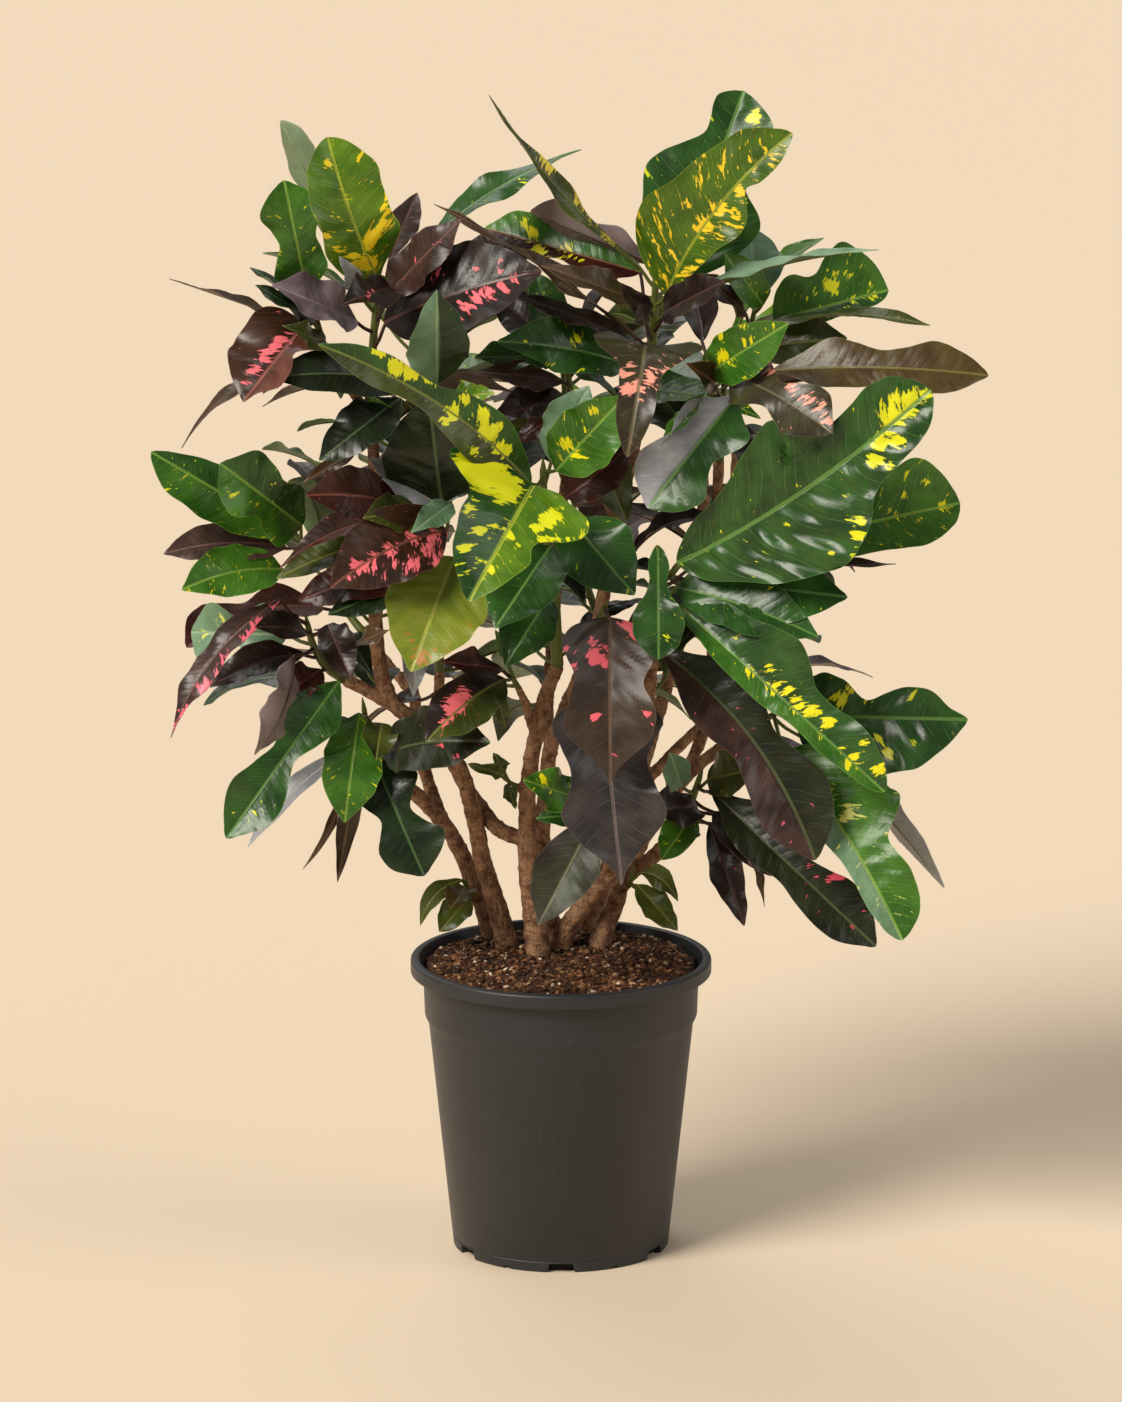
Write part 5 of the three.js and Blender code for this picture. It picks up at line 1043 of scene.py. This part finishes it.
def draws_from(seed):
    """Repeatable draws between 0 and 1. The first one is thrown away."""
    state = seed * DRAW_STEP % DRAW_SPAN
    while True:
        state = state * DRAW_STEP % DRAW_SPAN
        yield state / DRAW_SPAN


class Leaf:
    """One leaf's sizes, and the shape of its blade. The sizes are width, turn, arch, bow, twist."""

    def __init__(self, look, form, foot, tip, sizes, spots, faces, number):
        self.look, self.form, self.foot, self.tip = look, form, foot, tip
        self.width, self.turn, self.arch, self.bow, self.twist = (*sizes, 0, 0)[:5]
        self.spots, self.faces, self.number = spots, faces, number
        draw = draws_from(97 * number + 13)
        self.fold = math.radians(between(FOLD, next(draw)))
        self.wave = between(WAVE, next(draw))
        self.phase = 2 * math.pi * next(draw)
        self.waves = between(WAVES, next(draw))
        self.spacing = VEIN_SPACING[0] + VEIN_SPACING[1] * self.width
        half_columns = WIDE_HALF_COLUMNS if self.width > WIDE_LEAF else HALF_COLUMNS
        self.columns = np.array([-c for c in half_columns[::-1]] + [0] + list(half_columns))
        self.pucker = PUCKERED.get(form, 1)

    def at(self, shares):
        """The midrib, the way to the right and the blade's face, at shares of its length."""
        s = np.asarray(shares, dtype=float)[:, None]
        axis = unit(self.tip - self.foot)
        face = unit(self.faces - axis * self.faces.dot(axis))
        right = np.cross(axis, face)
        upwards = right * np.sign(right[2] + 0.3 * right[0])
        bend = face * self.arch + upwards * self.bow
        midrib = self.foot + (self.tip - self.foot) * s + bend * 4 * s * (1 - s)
        along = unit(self.tip - self.foot + bend * 4 * (1 - 2 * s))
        roll = np.radians(self.turn + self.twist * (s - 0.5))
        turned = face * np.cos(roll) + upwards * np.sin(roll)
        side = unit(np.cross(along, turned))
        return midrib, side, np.cross(side, along)

    def samples(self):
        """Points spread over the blade, to keep shoots clear of each other."""
        midrib, side, _ = self.at((0.1, 0.3, 0.5, 0.7, 0.9))
        return [m + w * hand * self.width for m, w in zip(midrib, side) for hand in (-0.38, 0, 0.38)]


BLUNT_FOOT = (0.04, 0.04)  # half widths at a blade's two ends
BLUNT_TIP = (0.015, 0.015)
FOOT_FULLNESS = 1.7
TIP_FULLNESS = 1.9
NARROWEST = 0.01


def half_widths(form, shares):
    """Smooth half widths, left and right, as shares of half the width, through a form's rows."""
    rows = np.array([(0, *BLUNT_FOOT), *FORMS[form], (1, *BLUNT_TIP)])
    knots, widths = rows[:, 0], rows[:, 1:]
    slopes = np.gradient(widths, knots, axis=0)
    slopes[0] = FOOT_FULLNESS * (widths[1] - widths[0]) / knots[1]
    slopes[-1] = TIP_FULLNESS * (widths[-1] - widths[-2]) / (1 - knots[-2])
    place = np.clip(np.searchsorted(knots, shares, side="right") - 1, 0, len(knots) - 2)
    span = (knots[place + 1] - knots[place])[:, None]
    t = (shares - knots[place])[:, None] / span
    a, b, p, q = widths[place], widths[place + 1], slopes[place] * span, slopes[place + 1] * span
    blend = a + t * p + t * t * (3 * (b - a) - 2 * p - q) + t**3 * (2 * (a - b) + p + q)
    return np.maximum(blend, NARROWEST)


def vein_places(leaf, along, aside, hand):
    """Along the blade in vein spacings, following the side veins out, which lean to the tip."""
    away = aside / leaf.spacing
    wander = VEIN_WANDER[0] * np.sin(0.9 * along / leaf.spacing + 1.3 * hand + leaf.phase)
    wander = wander + VEIN_WANDER[1] * np.sin(2.1 * away + 2 * hand + 1.7 * leaf.phase)
    return along / leaf.spacing - VEIN_LEAN * away - VEIN_BEND * away * away + wander


def blade_rise(leaf, shares, veins, half):
    """How far the blade rises at each place: its fold, its waves, puckers and quilting."""
    reach, hand = np.abs(leaf.columns), np.sign(leaf.columns)
    beat = 2 * math.pi * leaf.waves * shares + leaf.phase + hand
    wave = leaf.wave * np.sin(beat) * half / leaf.width * reach**1.6
    frill = FRILL * np.sin(2.7 * beat + 1.3 * hand) * (half / leaf.width) * 2 * reach**3
    rise = half * reach * math.sin(leaf.fold) * (1 - FOLD_CURVE + FOLD_CURVE * reach) + wave + frill
    swell = np.sin(2.6 * veins + leaf.phase + 2 * hand)
    swell = swell * np.sin(1.9 * math.pi * reach + 1.1 * np.sin(veins))
    swell = swell + 0.6 * np.sin(4.4 * veins + 3 * hand) * np.sin(math.pi * reach)
    fullness = np.minimum(half / leaf.width * 2, 1)
    puckers = PUCKER_HEIGHT * leaf.pucker * leaf.width * swell * fullness
    puckers = puckers * np.minimum(reach / PUCKERS_FROM, 1)
    calm = np.minimum(reach / QUILTS_FROM, 1) * (1 - reach**4)
    calm = calm * np.minimum(half / leaf.spacing, 1)
    quilts = np.cos(2 * math.pi * (veins + VEIN_SHIFT * hand))
    return rise + puckers + QUILT_HEIGHT * leaf.pucker * leaf.spacing * quilts * calm


def sheet_faces(count, columns):
    """The faces of a closed sheet of so many rows: its top, its back, and the rim between."""
    number = np.arange(count * columns).reshape(count, columns)
    corners = (number[:-1, :-1], number[:-1, 1:], number[1:, 1:], number[1:, :-1])
    quads = np.stack(corners, axis=-1)
    behind = count * columns
    faces = quads.reshape(-1, 4).tolist()
    faces += (quads[..., [0, 3, 2, 1]] + behind).reshape(-1, 4).tolist()
    rim = [*number[0, ::-1], *number[1:, 0], *number[-1, 1:], *number[-2:0:-1, -1]]
    return faces + [(a, b, b + behind, a + behind) for a, b in zip(rim, rim[1:] + rim[:1])]


def patches_at(leaf, sheet):
    """How strongly the leaf's spots gather patches at each place of its blade."""
    x, depth, height = sheet[..., 0], sheet[..., 1], sheet[..., 2]
    share = 1 + depth / EYE_DISTANCE
    seen_x, seen_height = x / share, (height + EYE_HEIGHT * depth / EYE_DISTANCE) / share
    gathered = np.zeros(x.shape)
    for spot_x, spot_height, spread, strength in leaf.spots:
        distance = ((seen_x - spot_x) ** 2 + (seen_height - spot_height) ** 2) / spread**2
        gathered = np.maximum(gathered, strength * np.exp(-distance))
    return gathered


def blade_mesh(leaf):
    """The blade as a thin closed sheet. Returns points, faces and what the leaf's paint reads."""
    length = np.linalg.norm(leaf.tip - leaf.foot)
    row_spacing = max(ROW_SPACING, leaf.spacing / ROWS_PER_VEIN)
    count = max(FEWEST_ROWS, round(length / row_spacing))
    crowded = (1 - np.cos(np.pi * np.linspace(0.02, 1, count))) / 2
    shares = crowded * ROW_CROWDING + np.linspace(0, 1, count) * (1 - ROW_CROWDING)
    midrib, side, normal = leaf.at(shares)
    shares = shares[:, None]
    ripple = np.sin(2 * math.pi * (RIPPLE[1] * shares + RIPPLE_SHIFTS) + leaf.phase)
    wide = half_widths(leaf.form, shares[:, 0]) * leaf.width / 2 * (1 + RIPPLE[0] * ripple)
    reach, hand = np.abs(leaf.columns), np.sign(leaf.columns)
    half = np.where(hand < 0, wide[:, :1], wide[:, 1:])
    veins = vein_places(leaf, shares * length, half * reach, hand)
    rise = blade_rise(leaf, shares, veins, half)
    across = half * leaf.columns * math.cos(leaf.fold)
    sheet = midrib[:, None] + side[:, None] * across[..., None] + normal[:, None] * rise[..., None]
    thick = BLADE_THICKNESS * (1 - EDGE_THINNING * reach**2)
    groove = np.where(reach == 0, GROOVE, 0.0)
    top = sheet + normal[:, None] * (thick / 2 - groove)[:, None]
    back = sheet - normal[:, None] * (thick / 2)[:, None]
    points = np.vstack((top.reshape(-1, 3), back.reshape(-1, 3)))

    spaced = (veins, half * leaf.columns / leaf.spacing, np.full(half.shape, leaf.number))
    place = np.stack(spaced, axis=-1).reshape(-1, 3)
    ends = np.minimum(shares, 1 - shares) * length
    rims = np.minimum(half * (1 - reach), ends * 0.7).ravel()
    data = {"place": np.vstack((place, place)), "rim": np.concatenate((rims, rims))}
    looks = [LOOKS[name] for name in leaf.look.split("/")]
    left_look, right_look = looks[0], looks[-1]
    right = np.broadcast_to(leaf.columns > 0, half.shape).reshape(-1, 1)
    for index, (key, share) in enumerate(BACK_TINTS.items()):
        left_colour = (right_look if key == "patch_tint" else left_look)[index]
        front = np.where(right, hex_colour(right_look[index]), hex_colour(left_colour))
        rear = np.minimum(np.array(hex_colour(right_look[4])) * share, 1)
        rear = np.broadcast_to(rear, front.shape)
        if key == "patch_tint":
            rear = between((front, rear), PALE_BACK)
        data[key] = np.vstack((front, rear))
    patchy = np.maximum(patches_at(leaf, sheet).ravel(), left_look[5])
    data["patchy"] = np.concatenate((patchy, patchy * BACK_PATCHES))
    data["dull"] = np.repeat((left_look[6], BACK_DULL), len(patchy))
    return points, sheet_faces(count, len(leaf.columns)), data


STALK_SHADE = 0.6
STALK_DULL = 0.4
OFF_BLADE = -9.0


def stalk_mesh(line, radii, sides, taper, colour):
    """A petiole or a shoot's stem, with what the leaf paint reads. It has no patches or veins."""
    points = tube(line, radii, sides, taper)
    count = len(points)
    data = {"place": np.tile((0.0, 9.0, 0.0), (count, 1)), "rim": np.full(count, OFF_BLADE)}
    for key in BACK_TINTS:
        part = STALK_SHADE if key == "shade" else 1.0
        data[key] = np.tile((*(c * part for c in colour[:3]), 1.0), (count, 1))
    data["patchy"] = np.full(count, -1.0)
    data["dull"] = np.full(count, STALK_DULL)
    return points, tube_faces(count, sides, 0), data


leaf_paint, paint = new_material("croton_leaf")


def read(name, output="Fac"):
    """What a piece keeps at each of its points."""
    return paint.node("Attribute", {"attribute_name": name}, output=output)


where = paint.node("TexCoord", output="Object")
place = read("place", "Vector")
offset, number = place.part(1), place.part(2)
rim = read("rim")
on_blade = rim.step(-1.0, -0.5)
hand = paint.maths("SIGN", offset)
reach = paint.maths("ABSOLUTE", offset)
vein_run = place.part(0) + VEIN_SHIFT * hand
vein_distance = paint.maths("ABSOLUTE", paint.maths("FRACT", vein_run + 10) - 0.5)
fade = noise_at(paint, where, scale=90, detail=1).step(0.3, 0.6)
vein = (0.06 - vein_distance).step(0.0, 0.05) * rim.step(0.5, 5.0) * on_blade * fade
midrib = (0.17 - reach).step(0.0, 0.07) * on_blade
patchy = read("patchy")


def along_veins(run_scale, reach_scale, leaf_step):
    """A place for noise that runs along the side veins, and is another one on every leaf."""
    sides = reach * reach_scale + hand * 3.7
    parts = {0: vein_run * run_scale, 1: sides, 2: number * leaf_step + 0.41}
    return paint.node("CombineXYZ", inputs=parts)


def patches_from(field, start, pull, crispness):
    """Where a noise is past its start, which the leaf's share of patches pulls down."""
    return paint.maths("MULTIPLY", field - start + pull * patchy, crispness, clamp=True)


blots = noise_at(paint, along_veins(2.2, 0.7, 5), scale=1.0, detail=3.5, roughness=0.6)
flecks = noise_at(paint, along_veins(3.6, 1.8, 3), scale=1.0, detail=2.0, roughness=0.5)
blot = patches_from(blots, start=0.855, pull=0.46, crispness=24.0)
fleck = patches_from(flecks + 0.6 * blots, start=1.18, pull=0.34, crispness=22.0)
halo = patches_from(blots, start=0.81, pull=0.44, crispness=8.0)
patch = paint.maths("MAXIMUM", blot, fleck) * on_blade
cloud = noise_at(paint, where, scale=38, detail=2.5)
# Painted shade: the blade is darkened with its shade colour towards each side vein.
painted_vein_shade = 1.0 - vein_distance.step(0.0, 0.5)
shade = read("shade", "Color")
patch_tint = read("patch_tint", "Color")
vein_tint = read("vein_tint", "Color")
tint = paint.mix(cloud.step(0.3, 0.7), shade, read("blade", "Color"))
tint = paint.mix(painted_vein_shade * 0.3, tint, shade)
tint = paint.mix(halo * 0.4 * on_blade, tint, paint.mix(0.5, vein_tint, patch_tint))
tint = paint.mix(vein * 0.38, tint, vein_tint)
tint = paint.mix(patch, tint, patch_tint)
tint = paint.mix(midrib * 0.8, tint, vein_tint)
edge = (0.75 - rim).step(0.0, 0.4) * on_blade
quilt = vein_distance * vein_distance * -0.7
relief = quilt * on_blade + 0.1 * noise_at(paint, where, scale=700, detail=2) - 0.3 * midrib
coat_with(
    paint,
    colour=paint.mix(edge * 0.4, tint, vein_tint),
    roughness=read("dull") + 0.1 * (cloud - 0.5) + 0.06 * patch,
    specular=0.36,
    coat_weight=0.12,
    coat_roughness=0.24,
    normal=bump_of(paint, relief, strength=0.6, distance=0.0011),
)

STALK_GREEN = hex_colour("66702c")
STALK_DARK = hex_colour("4a2f26")
DARK_LOOKS = (
    "black", "grey_black", "purple", "plum", "maroon", "rust", "umber", "cocoa", "brown", "dusk",
    "coral",
)


def leaf_parts(leaf, root):
    """A leaf's petiole and blade."""
    midrib, _, normal = leaf.at(RIDGE_SHARES)
    ridge = midrib - normal * (np.array(RIDGE_RADII)[:, None] - RIDGE_SUNK)
    sag = (root + ridge[0]) / 2 - 0.06 * np.linalg.norm(ridge[0] - root) * UP
    widths = [PETIOLE_RADIUS + PETIOLE_FLARE, PETIOLE_RADIUS, *RIDGE_RADII]
    line, radii = smooth_line(np.vstack((root, sag, ridge)), widths, STALK_STEP)
    colour = STALK_DARK if leaf.look.split("/")[0] in DARK_LOOKS else STALK_GREEN
    return [stalk_mesh(line, radii, STALK_SIDES, 0, colour), blade_mesh(leaf)]


def leafy_piece(name, parts, slot):
    """One piece of stems, petioles and blades, with what the leaf paint reads at each point."""
    points, faces = [], []
    for part_points, part_faces, _ in parts:
        low = len(points)
        points += part_points.tolist()
        faces += [tuple(low + k for k in face) for face in part_faces]
    piece = place_piece(name, points, faces, leaf_paint, slot)
    for key in ("place", "rim", "patchy", "dull", *BACK_TINTS):
        values = np.concatenate([data[key] for _, _, data in parts]).astype(np.float32)
        if key == "place":
            layer = piece.data.attributes.new(key, "FLOAT_VECTOR", "POINT")
            layer.data.foreach_set("vector", values.ravel())
        elif values.ndim == 1:
            piece.data.attributes.new(key, "FLOAT", "POINT").data.foreach_set("value", values)
        else:
            tint_points(piece.data, key, values)
    piece.data.set_sharp_from_angle(angle=math.radians(SHARP_EDGE))
    return piece


def grow_shoot(name, line, radii, places, leaves, slot):
    """Makes a shoot's piece: its stem with a bud on top, and its leaves."""
    stem_line, stem_radii = smooth_line(line, radii, SHOOT_STEP)
    parts = [stalk_mesh(stem_line, stem_radii, SHOOT_SIDES, BUD_LENGTH, STALK_GREEN)]
    free = list(places)
    for leaf in leaves:
        under = leaf.foot - PETIOLE_FALL * UP
        nearest = min(range(len(free)), key=lambda i: np.linalg.norm(free[i] - under))
        parts += leaf_parts(leaf, free.pop(nearest))
    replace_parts(leafy_piece("leafy_shoot_" + name, parts, slot), "shoot_" + name)


def places_along(line):
    """Places on a line where leaves can root."""
    shares = [(i + 1) / PLACES_PER_SPAN for i in range(PLACES_PER_SPAN)]
    return [a + (b - a) * share for a, b in zip(line, line[1:]) for share in shares]


LIMBS = [rows for limbs in STEMS.values() for rows in limbs]


def shoot_line(stem, foot):
    """The line and radii of a shoot's stem, a gap off the end of the limb it grows on."""
    limb = next(rows for rows in LIMBS if rows[-1][:3] == stem[0])
    line = [seen(place) for place in stem]
    line[0] = line[0] + SHOOT_GAP * unit(seen(limb[-1]) - seen(limb[-2]))
    last = len(line) - 1
    return line, [foot * between((1, SHOOT_TIP), i / last) for i in range(last + 1)]


WILD_TURN = 137.5
WILD_RISE = (48, -18)
WILD_NODE = (1, 0.25)  # where the first and the last leaf stand, as shares of the stem's places
WILD_LENGTH = (0.75, 1)
WILD_JITTER = (-8, 8)
WILD_GROWTH = (0.85, 1.15)
WILD_DROOP = (0, 20)
WILD_SLENDERNESS = (0.3, 0.42)
WILD_ROLL = (-25, 25)
WILD_BOW = (-6, 6)
WILD_ARCH = 12
WILD_LIFT = 6
WILD_PETIOLE = 24
WILD_CLEARANCE = 15
WILD_SWINGS = (0, 22, -22, 44, -44, 66, -66)
WILD_FORMS = ("fiddle", "oval", "deep", "lance")


def pointing(compass, rise):
    """The direction that lies by the compass and rises by an angle."""
    level = np.array((math.cos(compass), math.sin(compass), 0))
    return level * math.cos(rise) + UP * math.sin(rise)


def wild_leaf(count, first, longest, places, index, swing, number):
    """A leaf of a far shoot: its place round and down the stem sets where it points."""
    draw = draws_from(131 * number + 7)
    down = index / (count - 1)
    node = places[int(between(WILD_NODE, down) * (len(places) - 1) + 0.5)]
    compass = math.radians(first + WILD_TURN * index + swing + between(WILD_JITTER, next(draw)))
    rise = math.radians(between(WILD_RISE, down) + between(WILD_JITTER, next(draw)))
    direction = pointing(compass, rise)
    length = longest * between(WILD_LENGTH, math.sqrt(down)) * between(WILD_GROWTH, next(draw))
    foot = node + direction * WILD_PETIOLE + UP * WILD_LIFT
    tip = foot + direction * length - UP * between(WILD_DROOP, next(draw))
    width = length * between(WILD_SLENDERNESS, next(draw))
    sizes = (width, between(WILD_ROLL, next(draw)), WILD_ARCH, between(WILD_BOW, next(draw)))
    form = WILD_FORMS[(index + count) % len(WILD_FORMS)]
    return Leaf(WILD_LOOKS[number % len(WILD_LOOKS)], form, foot, tip, sizes, [], UP, number)


crown = {}
leaf_number = 0
for name, (stem, thickness, rows) in SHOOTS.items():
    line, radii = shoot_line(stem, thickness)
    leaves = []
    for look, form, foot, tip, sizes, *spots in rows:
        leaf_number += 1
        leaves.append(Leaf(look, form, seen(foot), seen(tip), sizes, spots, TO_EYE, leaf_number))
    crown[name] = (line, radii, places_along(line), leaves)
for name, (stem, thickness, *_) in WILD_SHOOTS.items():
    line, radii = shoot_line(stem, thickness)
    crown[name] = (line, radii, places_along(line), [])
limb_places = [place for rows in LIMBS for place in places_along([seen(row) for row in rows])]
for name, (_, _, count, first, longest) in WILD_SHOOTS.items():
    others = list(limb_places)
    for other, (_, _, places, leaves) in crown.items():
        if other != name:
            others += places + [point for leaf in leaves for point in leaf.samples()]
    others = np.array(others)
    places, leaves = crown[name][2:]
    for index in range(count):
        leaf_number += 1
        for swing in WILD_SWINGS:
            leaf = wild_leaf(count, first, longest, places, index, swing, leaf_number)
            gaps = np.linalg.norm(np.array(leaf.samples())[:, None] - others[None], axis=-1)
            if gaps.min() > WILD_CLEARANCE:
                leaves.append(leaf)
                break

DARK_SHOOTS = ("top_outer", "upper_middle", "hanging", "low_right")
for name, (line, radii, places, leaves) in crown.items():
    slot = "dark_leaves" if name in DARK_SHOOTS else "green_leaves"
    grow_shoot(name, line, radii, places, leaves, slot)

# ---------------------------------------------------------------------------
# Inner leaves: smaller and darker ones on the upper limbs, in the shade behind the outer shoots.
# They fill the crown, turn away from the front, and keep clear of every other leaf.
# ---------------------------------------------------------------------------

INNER_FOOT_HEIGHT = 440
INNER_STEP = 11
INNER_RISE = (42, -30)
INNER_LENGTH = (70, 118)
INNER_SLENDERNESS = (0.36, 0.5)
INNER_PETIOLE = 20
INNER_CLEARANCE = 8.5
INNER_MARGIN = 8  # how far these leaves stay inside the box of the whole plant
INNER_FRONT = -0.3  # the furthest that an inner leaf points to the front, as a sine
INNER_LOOKS = (
    "teal", "night", "black", "deep", "olive", "maroon", "teal", "deep", "brown", "night",
    "purple",
)


def dense_samples(leaf):
    """Points spread closely over a blade."""
    midrib, side, _ = leaf.at(np.linspace(0.02, 1, 9))
    hands = np.array((-0.48, -0.24, 0, 0.24, 0.48))[:, None, None] * leaf.width
    return (midrib + hands * side).reshape(-1, 3)


def inner_leaf(node, index, swing, number):
    """A leaf that grows from a limb, turned away from the front, or None where it wouldn't be."""
    draw = draws_from(173 * number + 29)
    compass = math.radians(WILD_TURN * index + swing)
    if math.sin(compass) < INNER_FRONT:
        return None
    direction = pointing(compass, math.radians(between(INNER_RISE, next(draw))))
    length = between(INNER_LENGTH, next(draw))
    foot = node + direction * INNER_PETIOLE
    tip = foot + direction * length - UP * between(WILD_DROOP, next(draw))
    width = length * between(INNER_SLENDERNESS, next(draw))
    sizes = (width, between(WILD_ROLL, next(draw)), WILD_ARCH)
    look = INNER_LOOKS[number % len(INNER_LOOKS)]
    return Leaf(look, WILD_FORMS[index % len(WILD_FORMS)], foot, tip, sizes, [], UP, number)


taken = [dense_samples(leaf) for _, _, _, leaves in crown.values() for leaf in leaves]
taken += [np.array(places) for _, _, places, _ in crown.values()]
taken = np.vstack((*taken, limb_places))
low_reach, high_reach = np.array(cad_box) / METRES
for name, limbs in STEMS.items():
    parts = []
    for rows in limbs:
        line, _ = smooth_line([seen(row) for row in rows], [row[3] for row in rows], INNER_STEP)
        for index, node in enumerate(line):
            if node[2] < INNER_FOOT_HEIGHT:
                continue
            leaf_number += 1
            for swing in WILD_SWINGS:
                leaf = inner_leaf(node, index, swing, leaf_number)
                if leaf is None:
                    continue
                samples = dense_samples(leaf)
                inside = samples > low_reach + INNER_MARGIN
                inside &= samples < high_reach - INNER_MARGIN
                gaps = np.linalg.norm(samples[:, None] - taken[None], axis=-1)
                if inside.all() and gaps.min() > INNER_CLEARANCE:
                    parts += leaf_parts(leaf, node)
                    taken = np.vstack((taken, samples))
                    break
    if parts:
        leafy_piece("inner_leaves_" + name, parts, "green_leaves")

# ---------------------------------------------------------------------------
# Floor, light and camera: a plain pale floor, soft studio light from the upper left, and the
# photograph's own viewing angle.
# ---------------------------------------------------------------------------

FLOOR_REACH = 40.0
FLOOR_COLOUR = "e2cfb6"
LAMPS = [  # name, where the light comes from, its strength, how wide it looks in degrees, colour
    ("key_light", (-0.72, -0.66, 0.8), 3.3, 28, (1.0, 0.94, 0.85)),
    ("side_light", (0.95, -0.25, 0.55), 0.55, 36, (1.0, 0.97, 0.94)),
    ("rim_light", (-0.35, 0.8, 0.9), 0.8, 40, (1.0, 0.98, 0.95)),
]
SKY_COLOUR = (0.95, 0.93, 0.9, 1)
SKY_STRENGTH = 0.26
CAMERA_LENS = 200.0
CAMERA_REACH = 100

floor_paint, paint = new_material("pale_floor")
coat_with(paint, colour=hex_colour(FLOOR_COLOUR), roughness=0.85, specular=0.2)
corner = FLOOR_REACH / 2
floor_mesh = bpy.data.meshes.new("floor")
corners = [(-corner, -corner, 0), (corner, -corner, 0), (corner, corner, 0), (-corner, corner, 0)]
floor_mesh.from_pydata(corners, [], [(0, 1, 2, 3)])
floor_mesh.materials.append(floor_paint)
floor = bpy.data.objects.new("floor", floor_mesh)
bpy.context.scene.collection.objects.link(floor)

for name, source, strength, spread, colour in LAMPS:
    lamp = bpy.data.lights.new(name, "SUN")
    lamp.energy = strength
    lamp.angle = math.radians(spread)
    lamp.color = colour
    holder = bpy.data.objects.new(name, lamp)
    holder.location = source
    holder.rotation_euler = Vector(source).to_track_quat("Z", "Y").to_euler()
    bpy.context.scene.collection.objects.link(holder)

sky = bpy.data.worlds.new("studio")
sky.use_nodes = True
sky.node_tree.nodes["Background"].inputs["Color"].default_value = SKY_COLOUR
sky.node_tree.nodes["Background"].inputs["Strength"].default_value = SKY_STRENGTH
bpy.context.scene.world = sky
bpy.context.scene.view_settings.view_transform = "Standard"

lens = bpy.data.cameras.new("camera")
lens.lens = CAMERA_LENS
lens.clip_end = CAMERA_REACH
camera = bpy.data.objects.new("camera", lens)
camera.location = (0, -EYE_DISTANCE * METRES, EYE_HEIGHT * METRES)
camera.rotation_euler = (math.radians(90 - EYE_PITCH), 0, 0)
bpy.context.scene.collection.objects.link(camera)
bpy.context.scene.camera = camera
